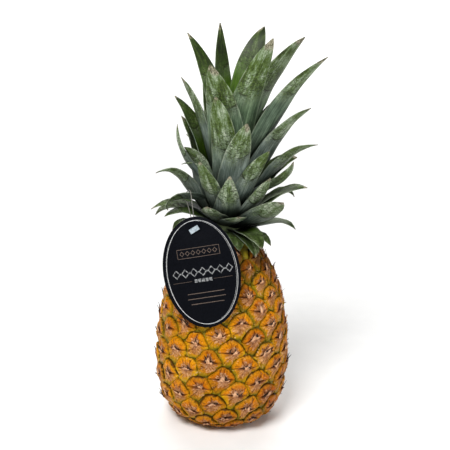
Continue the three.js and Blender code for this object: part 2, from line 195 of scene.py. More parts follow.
def spline(knots: Sequence[Row], steps: int, power: float, overshoot: float) -> np.ndarray:
    """Sample a Catmull-Rom spline through its knots.

    Args:
        knots: The points that the spline passes through.
        steps: The number of samples between two knots.
        power: How much the knots' distances count: 0 for a uniform spline, 0.5 for a centripetal one.
        overshoot: How far each end goes on straight, as a share of its last stretch.

    Returns:
        The samples, one row for each.
    """
    given = np.array(knots, dtype=float)
    before = given[:1] + overshoot * (given[:1] - given[1:2])
    after = given[-1:] + overshoot * (given[-1:] - given[-2:-1])
    padded = np.vstack([before, given, after])
    t = np.linspace(0.0, 1.0, steps, endpoint=False)[:, None]
    rows = []
    for i in range(len(given) - 1):
        a, b, c, d = padded[i : i + 4]
        first, middle, last = (np.linalg.norm(q - p) ** power for p, q in ((a, b), (b, c), (c, d)))
        leave = middle * ((b - a) / first - (c - a) / (first + middle) + (c - b) / middle)
        arrive = middle * ((c - b) / middle - (d - b) / (middle + last) + (d - c) / last)
        square = -3 * b + 3 * c - 2 * leave - arrive
        cubic = 2 * b - 2 * c + leave + arrive
        rows.append(b + leave * t + square * t**2 + cubic * t**3)
    rows.append(given[-1:])
    return np.vstack(rows)


def fan(centre: int, start: int, sides: int, flip: bool = False) -> np.ndarray:
    """Give the triangles from one vertex to a ring of others.

    Args:
        centre: The number of the vertex in the middle.
        start: The number of the ring's first vertex.
        sides: The number of vertices in the ring.
        flip: Whether the triangles face the other way.

    Returns:
        One row of three vertex numbers and -1 for each triangle.
    """
    here = start + np.arange(sides)
    after = np.roll(here, -1)
    pair = (after, here) if flip else (here, after)
    return np.stack([np.full(sides, centre), *pair, np.full(sides, -1)], axis=1)


def tube_quads(rows: int, sides: int) -> np.ndarray:
    """Give the quads of a tube whose vertices are numbered round each row in turn.

    Args:
        rows: The number of rows of vertices.
        sides: The number of vertices in a row.

    Returns:
        One row of four vertex numbers for each quad.
    """
    near = np.arange(rows - 1)[:, None] * sides
    here = np.arange(sides)[None, :]
    after = (here + 1) % sides
    far = near + sides
    return np.stack([near + here, near + after, far + after, far + here], axis=-1).reshape(-1, 4)


# ---- Mesh tools -----------------------------------------------------------------------------


def clear_selection() -> None:
    """Deselect every object."""
    if bpy.context.object and bpy.context.object.mode != "OBJECT":
        bpy.ops.object.mode_set(mode="OBJECT")
    bpy.ops.object.select_all(action="DESELECT")


def only(piece: Piece) -> None:
    """Select one object alone and make it active.

    Args:
        piece: The object.
    """
    clear_selection()
    piece.select_set(True)
    bpy.context.view_layer.objects.active = piece


def named(name: str) -> Piece:
    """Name the active object and its mesh.

    Args:
        name: The name for both.

    Returns:
        The active object.
    """
    piece = bpy.context.object
    piece.name = name
    piece.data.name = name
    return piece


def open_mesh(piece: Piece) -> None:
    """Open an object in edit mode with all of it selected.

    Args:
        piece: The object.
    """
    only(piece)
    bpy.ops.object.mode_set(mode="EDIT")
    bpy.ops.mesh.select_all(action="SELECT")


def close_mesh() -> None:
    """Turn the open mesh's faces outward and leave edit mode."""
    bpy.ops.mesh.select_all(action="SELECT")
    bpy.ops.mesh.normals_make_consistent(inside=False)
    bpy.ops.object.mode_set(mode="OBJECT")


def shade(piece: Piece, angle: float) -> None:
    """Shade an object smooth, and leave edges sharper than an angle in degrees sharp."""
    only(piece)
    bpy.ops.object.shade_smooth_by_angle(angle=math.radians(angle))


def drawn_mesh(name: str, points: np.ndarray, edges: list, faces: list) -> Piece:
    """Make an object from points in mm, edges and faces.

    Args:
        name: The object's name.
        points: One row of three coordinates, in mm, for each vertex.
        edges: Pairs of vertex numbers, for a mesh without faces.
        faces: Vertex numbers of each face.

    Returns:
        The new object, linked to the scene and selected alone.
    """
    mesh = bpy.data.meshes.new(name)
    mesh.from_pydata((points * MM).tolist(), edges, faces)
    piece = bpy.data.objects.new(name, mesh)
    bpy.context.collection.objects.link(piece)
    only(piece)
    return piece


def loose_mesh(name: str, points: np.ndarray, faces: np.ndarray) -> Piece:
    """Make a smooth object from points in mm and faces of three or four corners.

    Args:
        name: The object's name.
        points: One row of three coordinates, in mm, for each vertex.
        faces: One row of vertex numbers for each face; -1 ends a short row.

    Returns:
        The new object.
    """
    piece = drawn_mesh(name, points, [], [[i for i in face if i >= 0] for face in faces.tolist()])
    piece.data.validate()
    bpy.ops.object.shade_smooth()
    return piece


def turned(name: str, profile: Sequence[Row], steps: int) -> Piece:
    """Spin a profile about the upright axis into a closed solid.

    Args:
        name: The object's name.
        profile: (radius, height) in mm from axis to axis.
        steps: The number of sides.

    Returns:
        The new object.
    """
    points = np.array([(radius, 0.0, height) for radius, height in profile])
    piece = drawn_mesh(name, points, [(i, i + 1) for i in range(len(points) - 1)], [])
    open_mesh(piece)
    bpy.ops.mesh.spin(steps=steps, angle=2 * math.pi, center=(0, 0, 0), axis=(0, 0, 1))
    bpy.ops.mesh.select_all(action="SELECT")
    bpy.ops.mesh.remove_doubles(threshold=1e-6)
    close_mesh()
    shade(piece, SHARP_EDGE)
    return piece


def modify(piece: Piece, kind: str, **settings: object) -> None:
    """Add one modifier and apply it.

    Args:
        piece: The object.
        kind: The modifier's type.
        settings: Values for the modifier's own fields.
    """
    only(piece)
    bpy.ops.object.modifier_add(type=kind)
    modifier = piece.modifiers[-1]
    for key, value in settings.items():
        setattr(modifier, key, value)
    bpy.ops.object.modifier_apply(modifier=modifier.name)


def join(name: str, parts: Sequence[Piece]) -> Piece:
    """Join several objects into one.

    Args:
        name: The name of the joined object.
        parts: The objects; the first keeps its materials' order.

    Returns:
        The joined object.
    """
    clear_selection()
    for part in parts:
        part.select_set(True)
    bpy.context.view_layer.objects.active = parts[0]
    bpy.ops.object.join()
    return named(name)


def write_points(piece: Piece, points: np.ndarray) -> None:
    """Move an object's vertices to points in mm."""
    piece.data.vertices.foreach_set("co", (points * MM).astype(np.float32).ravel())
    piece.data.update()


def read_points(piece: Piece) -> np.ndarray:
    """Read an object's vertices.

    Args:
        piece: The object.

    Returns:
        One row of three coordinates, in mm, for each vertex.
    """
    flat = np.empty(len(piece.data.vertices) * 3, dtype=np.float32)
    piece.data.vertices.foreach_get("co", flat)
    return flat.reshape(-1, 3).astype(float) / MM


def add_numbers(piece: Piece, name: str, values: np.ndarray) -> None:
    """Store one number, vector or colour on each vertex.

    Args:
        piece: The object.
        name: The attribute's name.
        values: One row for each vertex, with one, three or four columns.
    """
    kinds = {1: ("FLOAT", "value"), 3: ("FLOAT_VECTOR", "vector"), 4: ("FLOAT_COLOR", "color")}
    rows = values.reshape(len(piece.data.vertices), -1)
    kind, key = kinds[rows.shape[1]]
    layer = piece.data.attributes.new(name, kind, "POINT")
    layer.data.foreach_set(key, rows.astype(np.float32).ravel())


def dress(piece: Piece, slot: str, *materials: Material) -> None:
    """Give a piece its materials and its body.

    Args:
        piece: The object.
        slot: The material slot of the record that it takes its finish from; not used.
        materials: The material, for a piece that has none yet.
    """
    for material in materials:
        piece.data.materials.append(material)
    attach(piece, "root")
    LOG.info("%s: %d faces", piece.name, len(piece.data.polygons))


# ---- Shader tools ---------------------------------------------------------------------------


class Finish:
    """One material in the making, with short calls for the nodes it needs."""

    def __init__(self, name: str) -> None:
        """Start a material with its principled shader.

        Args:
            name: The material's name.
        """
        self.material = bpy.data.materials.new(name)
        self.material.use_nodes = True
        self.tree = self.material.node_tree
        self.shader = self.tree.nodes["Principled BSDF"]

    def node(self, kind: str, inputs: dict, **settings: object) -> bpy.types.Node:
        """Add a node.

        Args:
            kind: The node's type.
            inputs: Values or sockets for its inputs, by name or number.
            settings: Values for the node's own fields.

        Returns:
            The node.
        """
        made = self.tree.nodes.new(kind)
        for key, value in settings.items():
            setattr(made, key, value)
        for key, value in inputs.items():
            self.feed(made.inputs[key], value)
        return made

    def feed(self, socket: Socket, value: object) -> None:
        """Link a socket into an input, or set the input's own value.

        Args:
            socket: The input.
            value: Another node's output, a number, a vector or a colour code.
        """
        if isinstance(value, Socket):
            self.tree.links.new(value, socket)
        else:
            socket.default_value = linear(value) if isinstance(value, str) else value

    def place(self) -> Socket:
        """Give the object's own coordinates."""
        return self.node("ShaderNodeTexCoord", {}).outputs["Object"]

    def attribute(self, name: str, output: str = "Fac") -> Socket:
        """Read an attribute of the mesh."""
        return self.node("ShaderNodeAttribute", {}, attribute_name=name).outputs[output]

    def split(self, vector: Socket) -> list[Socket]:
        """Give a vector's three numbers one by one."""
        return list(self.node("ShaderNodeSeparateXYZ", {"Vector": vector}).outputs)

    def noise(
        self, vector: object, scale: float | Row, detail: float = 4.0, rough: float = 0.55
    ) -> Socket:
        """Add a noise pattern.

        Args:
            vector: The coordinates.
            scale: How many lumps there are in one unit, in all directions or along each axis.
            detail: How many finer layers there are.
            rough: The strength of the finer layers.

        Returns:
            A number round one half.
        """
        if isinstance(scale, tuple):
            vector = self.node("ShaderNodeMapping", {"Vector": vector, "Scale": scale}).outputs["Vector"]
            scale = 1.0
        inputs = {"Vector": vector, "Scale": scale, "Detail": detail, "Roughness": rough}
        return self.node("ShaderNodeTexNoise", inputs).outputs["Fac"]

    def ramp(self, value: object, stops: Stops) -> Socket:
        """Turn a number into a colour.

        Args:
            value: The number.
            stops: Positions from 0 to 1, each with its colour code.

        Returns:
            The colour.
        """
        made = self.node("ShaderNodeValToRGB", {"Fac": value})
        marks = made.color_ramp.elements
        while len(marks) < len(stops):
            marks.new(0.5)
        for mark, (position, code) in zip(marks, stops):
            mark.position = position
            mark.color = linear(code)
        return made.outputs["Color"]

    def span(
        self, value: object, low: float, high: float, start: float = 0.0, end: float = 1.0
    ) -> Socket:
        """Map a range of numbers smoothly onto another, and hold it there.

        Args:
            value: The number.
            low: The value that gives start.
            high: The value that gives end.
            start: The result at low.
            end: The result at high.

        Returns:
            The mapped number.
        """
        inputs = {"Value": value, "From Min": low, "From Max": high, "To Min": start, "To Max": end}
        made = self.node("ShaderNodeMapRange", inputs, interpolation_type="SMOOTHSTEP")
        return made.outputs["Result"]

    def math(self, kind: str, *values: object) -> Socket:
        """Combine numbers by one of the Math node's operations."""
        return self.node("ShaderNodeMath", dict(enumerate(values)), operation=kind).outputs[0]

    def add(self, first: object, second: object) -> Socket:
        """Add two numbers."""
        return self.math("ADD", first, second)

    def times(self, first: object, second: object) -> Socket:
        """Multiply two numbers."""
        return self.math("MULTIPLY", first, second)

    def size(self, value: object) -> Socket:
        """Give a number without its sign."""
        return self.math("ABSOLUTE", value)

    def mix(
        self, share: object, first: object, second: object, blend: str = "MIX"
    ) -> Socket:
        """Mix two colours.

        Args:
            share: How much of the second colour there is.
            first: The first colour.
            second: The second colour.
            blend: How they mix.

        Returns:
            The mixed colour.
        """
        inputs = {0: share, 6: first, 7: second}
        return self.node("ShaderNodeMix", inputs, data_type="RGBA", blend_type=blend).outputs[2]

    def tint(self, first: object, second: object, share: object = 1.0) -> Socket:
        """Multiply a colour by another, wholly or by a share."""
        return self.mix(share, first, second, "MULTIPLY")

    def relief(self, *layers: tuple[object, float, float]) -> Socket:
        """Lay layers of fine relief over each other.

        Args:
            layers: For each layer its height from 0 to 1, how much of it shows, and the depth in mm
                of a height of 1.

        Returns:
            The normal.
        """
        under = {}
        for height, strength, depth in layers:
            inputs = {"Height": height, "Strength": strength, "Distance": depth * MM, **under}
            under = {"Normal": self.node("ShaderNodeBump", inputs).outputs["Normal"]}
        return under["Normal"]

    def set(self, **values: object) -> Material:
        """Set or link the principled shader's inputs, with _ for a space in a name.

        Args:
            values: A value or a socket for each input.

        Returns:
            The finished material.
        """
        for key, value in values.items():
            self.feed(self.shader.inputs[key.replace("_", " ")], value)
        return self.material


# ---- Finishes -------------------------------------------------------------------------------


class EyeSkin(Finish):
    """The rind's material in the making, with the numbers and patterns that its layers share."""

    def __init__(self) -> None:
        """Read the eyes' numbers and lay the patterns."""
        super().__init__("rind_skin")
        zone = self.node("ShaderNodeAttribute", {}, attribute_name="eye_zone")
        parts = self.node("ShaderNodeSeparateColor", {"Color": zone.outputs["Color"]})
        self.is_lobe, self.inward, self.age = (parts.outputs[i] for i in range(3))
        self.ripe_and_painted_light = zone.outputs["Alpha"]
        self.across, self.up, _ = self.split(self.attribute("eye_spot", "Vector"))
        self.lines = self.split(self.attribute("eye_lines", "Vector"))
        self.spot = self.place()
        self.height = self.split(self.spot)[2]
        self.lumps = self.noise(self.spot, 160, 3)
        self.grain = self.noise(self.spot, 700, 5, 0.6)
        self.wrinkles = self.noise(self.spot, 380, 4, 0.6)
        self.streaks = self.noise(self.attribute("eye_fan", "Vector"), 7.0, 5, 0.65)
        # An offset in mm that makes every drawn line uneven.
        self.wave = self.span(self.noise(self.spot, 210, 3), 0.3, 0.7, -1.1, 1.1)
        # How far in from the eye's edge a point lies, as a share.
        depth = self.add(self.inward, self.span(self.wrinkles, 0.25, 0.75, -0.05, 0.05))
        self.depth = self.add(depth, self.span(self.noise(self.spot, 65, 2), 0.42, 0.6, -0.02, 0.06))
        # How green the rims are here: in patches, and more towards the top.
        patch = self.add(self.noise(self.spot, 26, 2), self.span(self.height, 0.03, 0.16, -0.06, 0.08))
        self.green = self.span(patch, 0.43, 0.6)


@dataclass(frozen=True)
class RindFinish:
    """The skin of the eyes: orange lobes, and fleshy yellow bracts that dry to pink paper."""

    # The first stops paint shade: a thin dark line at the lobe's edge, where it falls into the groove.
    lobe: Stops = (
        (0.0, "382806"), (0.034, "684a08"), (0.065, "b8840a"), (0.12, "d89608"), (0.22, "e69c02"),
        (0.38, "ea9a00"), (0.55, "d58a10"), (0.75, "ae6e30"), (1.0, "8e583c"),
    )
    bract: Stops = (
        (0.0, "8c780a"), (0.03, "bc9c0c"), (0.1, "ddb212"), (0.22, "e2a606"), (0.6, "d6941a"),
        (1.0, "b4743e"),
    )
    paper: Stops = (
        (0.36, "482815"), (0.43, "905a3c"), (0.5, "c0885e"), (0.58, "dcac80"), (0.68, "eec8a4"),
    )
    ripeness: Stops = ((0.0, "dabc94"), (0.5, "f2e2bc"), (1.0, "fff6b0"))
    rim: Stops = ((0.0, "c8a60c"), (0.6, "9c8a12"), (1.0, "84801a"))
    dust: Stops = ((0.3, "7c7c7c"), (0.7, "ffffff"))
    # Painted shadow of the crown: the fruit's top darkens towards the neck.
    crown_shade: Stops = ((0.0, "ffffff"), (1.0, "9a9a84"))
    blush: str = "cc6e04"
    tan: str = "b9825c"
    crease: str = "642a10"
    keel: str = "5e3214"
    ridge: str = "d89a22"
    corner: str = "a0900c"
    streak: str = "6f3a10"
    mauve: str = "bca89c"
    # Painted shade: a dark olive for the deep pockets of the groove below each eye.
    pocket_shade: str = "625c08"
    # Painted shadow: the near-black brown painted into the open slit of each eye.
    hole: str = "2a0e06"

    def lobes(self, skin: EyeSkin) -> Socket:
        """Colour the lobes above the slit, with their creases.

        Args:
            skin: The material in the making.

        Returns:
            The colour.
        """
        blush = skin.span(skin.noise(skin.spot, 75, 2), 0.48, 0.68, 0.0, 0.6)
        blush = skin.times(blush, skin.span(skin.inward, 0.1, 0.25))
        colour = skin.mix(blush, skin.ramp(skin.depth, self.lobe), self.blush)
        right, left = (skin.add(line, skin.wave) for line in skin.lines[:2])
        middle = skin.times(skin.span(right, 0.2, -0.5), skin.span(left, -0.2, 0.5))
        sunken = skin.times(middle, skin.span(skin.depth, 0.25, 0.75, 0.1, 0.85))
        colour = skin.mix(sunken, colour, self.tan)
        inner = skin.span(skin.depth, 0.08, 0.3)
        for offset in (right, left):
            line = skin.times(skin.span(skin.size(offset), 0.2, 0.75, 0.85, 0.0), inner)
            colour = skin.mix(line, colour, self.crease)
        return colour

    def bracts(self, skin: EyeSkin) -> Socket:
        """Colour the fleshy part of the bracts, with the keel and the green corner below.

        Args:
            skin: The material in the making.

        Returns:
            The colour.
        """
        colour = skin.ramp(skin.depth, self.bract)
        green = skin.span(skin.add(skin.up, skin.wave), -8.0, -11.8, 0.0, 0.7)
        colour = skin.mix(green, colour, self.corner)
        offset = skin.add(skin.lines[2], skin.wave)
        ridge = skin.times(skin.span(offset, 0.3, 0.8), skin.span(offset, 2.8, 1.8, 0.0, 0.75))
        colour = skin.mix(ridge, colour, self.ridge)
        return skin.mix(skin.span(skin.size(offset), 0.25, 0.85, 0.8, 0.0), colour, self.keel)

    def fresh(self, skin: EyeSkin) -> Socket:
        """Colour the fleshy skin, with brown streaks, green rims, its own ripeness and painted light.

        Args:
            skin: The material in the making.

        Returns:
            The colour.
        """
        colour = skin.mix(skin.is_lobe, self.bracts(skin), self.lobes(skin))
        colour = skin.mix(skin.span(skin.streaks, 0.35, 0.5, 0.7, 0.0), colour, self.streak)
        rim = skin.span(skin.depth, 0.36, 0.1)
        rim = skin.times(rim, skin.span(skin.is_lobe, 0.0, 1.0, 0.85, 0.2))
        rim = skin.times(rim, skin.span(skin.green, 0.0, 1.0, 0.2, 1.0))
        colour = skin.mix(rim, colour, skin.ramp(skin.green, self.rim))
        ends = skin.span(skin.add(skin.size(skin.across), skin.wave), 9.8, 12.2, 0.0, 0.7)
        ends = skin.times(ends, skin.span(skin.green, 0.0, 1.0, 0.25, 1.0))
        colour = skin.mix(ends, colour, self.corner)
        return skin.tint(colour, skin.ramp(skin.ripe_and_painted_light, self.ripeness))

    def papery(self, skin: EyeSkin) -> Socket:
        """Colour the dried skin, with fibres and mauve patches.

        Args:
            skin: The material in the making.

        Returns:
            The colour.
        """
        fibres = skin.add(skin.times(skin.streaks, 0.7), skin.times(skin.wrinkles, 0.3))
        mauve = skin.span(skin.noise(skin.spot, 120, 2), 0.45, 0.64, 0.0, 0.6)
        return skin.tint(skin.ramp(fibres, self.paper), self.mauve, mauve)

    def hollows(self, skin: EyeSkin, colour: Socket) -> Socket:
        """Paint shade into the cleft along the slit, the pockets between the eyes and the slit itself,
        and under the crown.

        Args:
            skin: The material in the making.
            colour: The colour of the skin.

        Returns:
            The darkened colour.
        """
        # Painted shade along the lips of the slit, near the eye's centre.
        cleft_shade = skin.size(skin.add(skin.up, skin.times(skin.wave, 0.35)))
        cleft_shade = skin.times(skin.span(cleft_shade, 0.25, 1.2, 0.7, 0.0), skin.span(skin.inward, 0.15, 0.6))
        colour = skin.mix(cleft_shade, colour, self.crease)
        # Painted shade in the deep pocket of the groove below the eye.
        pocket_shade = skin.span(skin.add(skin.up, skin.wave), -12.0, -13.4, 0.0, 0.9)
        colour = skin.mix(pocket_shade, colour, self.pocket_shade)
        colour = skin.tint(colour, skin.ramp(skin.grain, self.dust), 0.45)
        # Painted shadow in the open slit.
        colour = skin.mix(skin.attribute("eye_slit"), colour, self.hole)
        # Painted shadow of the crown's leaves on the top of the fruit.
        return skin.tint(colour, skin.ramp(skin.span(skin.height, 0.125, 0.168), self.crown_shade))

    def build(self) -> Material:
        """Make the material.

        Returns:
            The finished material.
        """
        skin = EyeSkin()
        crumple = skin.span(skin.add(skin.streaks, skin.wrinkles), 0.65, 1.35, -0.5, 0.5)
        dry = skin.span(skin.add(skin.age, crumple), 0.32, 0.62)
        share = skin.times(dry, skin.span(skin.is_lobe, 0.0, 1.0, 0.72, 0.85))
        colour = skin.mix(share, self.fresh(skin), self.papery(skin))
        relief = skin.relief(
            (skin.lumps, 0.5, 0.5), (skin.wrinkles, 0.6, 0.35), (skin.streaks, 0.6, 0.45),
            (skin.grain, 0.4, 0.18),
        )
        rough = skin.span(dry, 0.0, 1.0, 0.45, 0.8)
        return skin.set(Base_Color=self.hollows(skin, colour), Roughness=rough, Normal=relief,
                        Specular_IOR_Level=0.08)


@dataclass(frozen=True)
class PaperFinish:
    """Dry papery flakes and hairs, pale at the root and dark at the tip."""

    name: str
    stops: Stops
    dust: Stops = ((0.3, "8c7a70"), (0.62, "ffffff"))

    def build(self) -> Material:
        """Make the material.

        Returns:
            The finished material.
        """
        paper = Finish(self.name)
        grain = paper.noise(paper.place(), 520, 5, 0.6)
        run = paper.add(paper.attribute("run"), paper.span(grain, 0.2, 0.8, -0.2, 0.2))
        colour = paper.tint(paper.ramp(run, self.stops), paper.ramp(grain, self.dust), 0.5)
        return paper.set(Base_Color=colour, Normal=paper.relief((grain, 0.5, 0.25)), Roughness=0.75,
                         Specular_IOR_Level=0.25)


@dataclass(frozen=True)
class GrooveFinish:
    """The skin in the grooves between the eyes."""

    dark: str = "5a4c06"
    light: str = "a8940c"

    def build(self) -> Material:
        """Make the material.

        Returns:
            The finished material.
        """
        groove = Finish("rind_groove")
        lumps = groove.noise(groove.place(), 110, 5)
        colour = groove.ramp(lumps, ((0.38, self.dark), (0.62, self.light)))
        return groove.set(Base_Color=colour, Normal=groove.relief((lumps, 0.6, 0.6)), Roughness=0.6)


class BladeSkin(Finish):
    """A leaf's material in the making, with the numbers and patterns that its layers share."""

    def __init__(self, name: str) -> None:
        """Read the leaf's numbers and lay the patterns, which run along it.

        Args:
            name: The material's name.
        """
        super().__init__(name)
        blade = self.attribute("blade", "Vector")
        self.share, self.side, self.past = self.split(self.attribute("blade_lie", "Vector"))
        self.age = self.attribute("blade_age")
        self.veins = self.noise(blade, (14.0, 0.22, 1.0), 4, 0.6)
        self.cloud = self.noise(blade, (1.5, 0.5, 1.0), 5, 0.65)
        self.streak = self.noise(blade, (4.5, 0.6, 2.0), 5, 0.65)
        self.grain = self.noise(blade, (7.0, 4.5, 1.0), 5, 0.75)
        self.ticks = self.noise(blade, (1.6, 3.6, 1.0), 3, 0.6)
        # Where the crease across the leaf is sharp, and not a slow change.
        self.sharp = self.span(self.noise(blade, (0.7, 0.1, 3.0), 2), 0.46, 0.53)
        step = self.span(self.past, -0.05, 0.05)
        self.crisp = self.times(step, self.span(self.past, -1.0, 2.0, 0.5, 1.0))
        soft = self.add(self.past, self.span(self.grain, 0.3, 0.7, -0.9, 0.9))
        slow = self.times(self.span(soft, -1.4, 1.2), self.math("SUBTRACT", 1.0, self.sharp))
        self.after = self.add(self.times(self.crisp, self.sharp), slow)


@dataclass(frozen=True)
class LeafFinish:
    """One face of a leaf: a smooth grey bloom by the root, and a rubbed, scurfy coat past its crease."""

    name: str
    coat: Stops
    base: Stops
    roughness: float
    rim: float
    young: str = "ffffff"
    edge: str = "97a189"
    crack: str = "262c12"
    dry: Stops = ((0.45, "4a4230"), (0.6, "a69e88"))
    # Painted shade: each leaf darkens towards its root, where the leaves overlap.
    root: Stops = ((0.0, "10140e"), (0.45, "787c76"), (1.0, "ffffff"))
    old: Stops = ((0.1, "ffffff"), (1.0, "c4c2be"))

    def scurf(self, leaf: BladeSkin) -> Socket:
        """Colour the rubbed coat past the crease, in clouds, streaks and grains.

        Args:
            leaf: The material in the making.

        Returns:
            The colour.
        """
        state = leaf.span(leaf.cloud, 0.32, 0.68, 0.0, 0.48)
        for value, low, high, start, end in (
            (leaf.grain, 0.3, 0.7, 0.0, 0.28),
            (leaf.streak, 0.3, 0.7, 0.0, 0.24),
            (leaf.age, 0.0, 1.0, -0.1, 0.04),
            (leaf.share, 0.4, 1.0, -0.05, 0.08),
        ):
            state = leaf.add(state, leaf.span(value, low, high, start, end))
        return leaf.ramp(state, self.coat)

    def bloom(self, leaf: BladeSkin) -> Socket:
        """Colour the smooth ribbed part by the root, paler just before the crease.

        Args:
            leaf: The material in the making.

        Returns:
            The colour.
        """
        ribs = leaf.add(leaf.times(leaf.veins, 0.5), leaf.times(leaf.cloud, 0.5))
        colour = leaf.tint(leaf.ramp(ribs, self.base), self.young, leaf.span(leaf.age, 0.8, 0.0))
        pale = leaf.times(leaf.span(leaf.past, -1.6, -0.2, 0.0, 0.4), leaf.span(leaf.grain, 0.3, 0.7))
        return leaf.mix(pale, colour, self.edge)

    def marks(self, leaf: BladeSkin, colour: Socket) -> Socket:
        """Draw the dark veins, the fine cracks past the crease and the crease itself.

        Args:
            leaf: The material in the making.
            colour: The colour of the leaf.

        Returns:
            The marked colour.
        """
        veins = leaf.times(leaf.span(leaf.veins, 0.46, 0.64, 0.0, 0.55), leaf.after)
        colour = leaf.mix(veins, colour, self.coat[0][1])
        near = leaf.times(leaf.span(leaf.past, -1.0, 0.2), leaf.span(leaf.past, 3.0, 1.2, 0.25, 1.0))
        line = leaf.size(leaf.math("SUBTRACT", leaf.ticks, 0.5))
        cracks = leaf.times(leaf.span(line, 0.012, 0.045, 0.95, 0.0), near)
        cracks = leaf.times(cracks, leaf.span(leaf.grain, 0.38, 0.48))
        colour = leaf.mix(cracks, colour, self.crack)
        crease = leaf.times(leaf.span(leaf.past, -0.12, -0.03), leaf.span(leaf.past, 0.12, 0.03))
        crease = leaf.times(crease, leaf.times(leaf.sharp, 0.85))
        return leaf.mix(crease, colour, self.crack)

    def wear_and_root_shade(self, leaf: BladeSkin, colour: Socket) -> Socket:
        """Add the pale rim, the dry tip, the painted shade by the root and the dulling of old leaves.

        Args:
            leaf: The material in the making.
            colour: The colour of the leaf.

        Returns:
            The worn colour.
        """
        rim = leaf.times(leaf.span(leaf.size(leaf.side), 0.9, 0.97),
                         leaf.span(leaf.streak, 0.35, 0.6, 0.0, self.rim))
        colour = leaf.mix(rim, colour, self.edge)
        end = leaf.add(leaf.share, leaf.span(leaf.cloud, 0.3, 0.7, -0.04, 0.04))
        end = leaf.span(end, 0.945, 0.985, 0.0, 0.85)
        colour = leaf.mix(end, colour, leaf.ramp(leaf.grain, self.dry))
        # Painted shade towards the root.
        colour = leaf.tint(colour, leaf.ramp(leaf.span(leaf.share, 0.03, 0.54), self.root))
        old = leaf.times(leaf.age, leaf.span(leaf.after, 0.0, 1.0, 1.0, 0.35))
        return leaf.tint(colour, leaf.ramp(old, self.old))

    def build(self) -> Material:
        """Make the material.

        Returns:
            The finished material.
        """
        leaf = BladeSkin(self.name)
        colour = leaf.mix(leaf.after, self.bloom(leaf), self.scurf(leaf))
        colour = self.wear_and_root_shade(leaf, self.marks(leaf, colour))
        relief = leaf.relief((leaf.veins, 0.5, 0.5), (leaf.crisp, 0.3, 0.4), (leaf.grain, 0.4, 0.35))
        return leaf.set(Base_Color=colour, Normal=relief, Roughness=self.roughness,
                        Specular_IOR_Level=0.22)


@dataclass(frozen=True)
class PlainFinish:
    """A worked material with a fine grain: card, foil, plastic, cut fibre or floor."""

    name: str
    dark: str
    light: str
    scale: float
    roughness: float
    depth: float = 0.05
    metallic: float = 0.0
    gloss: float = 0.5

    def build(self) -> Material:
        """Make the material.

        Returns:
            The finished material.
        """
        plain = Finish(self.name)
        grain = plain.noise(plain.place(), self.scale, 4)
        colour = plain.ramp(grain, ((0.35, self.dark), (0.65, self.light)))
        spread = plain.span(grain, 0.3, 0.7, self.roughness - 0.06, self.roughness + 0.06)
        return plain.set(Base_Color=colour, Roughness=spread, Metallic=self.metallic,
                         Normal=plain.relief((grain, 0.3, self.depth)), Specular_IOR_Level=self.gloss)


# ---- Fruit ----------------------------------------------------------------------------------


class Sepals(Enum):
    """Where the creases between the lobes of an eye lie, in degrees from the right."""

    TWO = (92.0,)
    THREE = (60.0, 118.0)


class Outline:
    """The fruit's outline by its arc, with points over and under it."""

    def __init__(self) -> None:
        """Measure the outline."""
        self.samples = spline(FRUIT_OUTLINE, 60, 0.0, 0.0)
        runs = np.linalg.norm(np.diff(self.samples, axis=0), axis=1)
        self.arcs = np.concatenate([[0.0], np.cumsum(runs)])
        along = np.gradient(self.samples, self.arcs, axis=0)
        self.along = along / np.linalg.norm(along, axis=1)[:, None]

    def radius(self, arc: np.ndarray) -> np.ndarray:
        """Give the outline's radius at an arc."""
        return np.interp(arc, self.arcs, self.samples[:, 0])

    def section(self, arc: np.ndarray, lift: np.ndarray) -> tuple[np.ndarray, np.ndarray]:
        """Give radius and height at an arc.

        Args:
            arc: Arc along the outline, in mm.
            lift: Height out from the outline, in mm.

        Returns:
            The radius and the height, in mm.
        """
        radius, height = (np.interp(arc, self.arcs, self.samples[:, i]) for i in (0, 1))
        across, up = (np.interp(arc, self.arcs, self.along[:, i]) for i in (0, 1))
        return radius + up * lift, height - across * lift

    def place(self, azimuth: np.ndarray, arc: np.ndarray, lift: np.ndarray) -> np.ndarray:
        """Give points over the outline, with its rows of eyes a little uneven.

        Args:
            azimuth: Angle from the front towards the right, in degrees.
            arc: Arc along the outline, in mm.
            lift: Height out from the outline, in mm.

        Returns:
            The points, with x, y and z along the last axis.
        """
        angle = np.radians(azimuth)
        across = 0.9 * np.sin(11 * angle + arc / 5.1) + 0.6 * np.sin(17 * angle - arc / 3.7 + 2)
        up = 0.8 * np.sin(13 * angle - arc / 4.3 + 1) + 0.6 * np.sin(19 * angle + arc / 3.1 + 4)
        fade = smooth(arc, 12, 40)
        angle = angle + fade * across / np.maximum(self.radius(arc), 20)
        radius, height = self.section(arc + fade * up, lift)
        return np.stack([radius * np.sin(angle), -radius * np.cos(angle), height], axis=-1)


@dataclass(frozen=True)
class TileGrid:
    """Points of the tiles in mm, by ring, eye and ray.

    x and y lie across and up the eye, r is the distance from its centre before the slit opens,
    angle the direction in radians, and edge the distance in from the rim.
    """

    x: np.ndarray
    y: np.ndarray
    r: np.ndarray
    angle: np.ndarray
    edge: np.ndarray

    def beside(self, line: Number) -> np.ndarray:
        """Give distances to the side of a line from the centre, at an angle in radians."""
        return self.r * np.sin(self.angle - line)

    def valley(self, line: Number, width: float, near: float, far: float) -> np.ndarray:
        """Follow a line outward from the centre with a bell-shaped trough or ridge.

        Args:
            line: The line's angle, in radians.
            width: The bell's width, in mm.
            near: Where it starts, in mm from the centre.
            far: Where it has its full height.

        Returns:
            Its height, from 0 to 1.
        """
        outward = np.cos(self.angle - line) > 0
        return outward * bell(self.beside(line), width) * smooth(self.r, near, far)


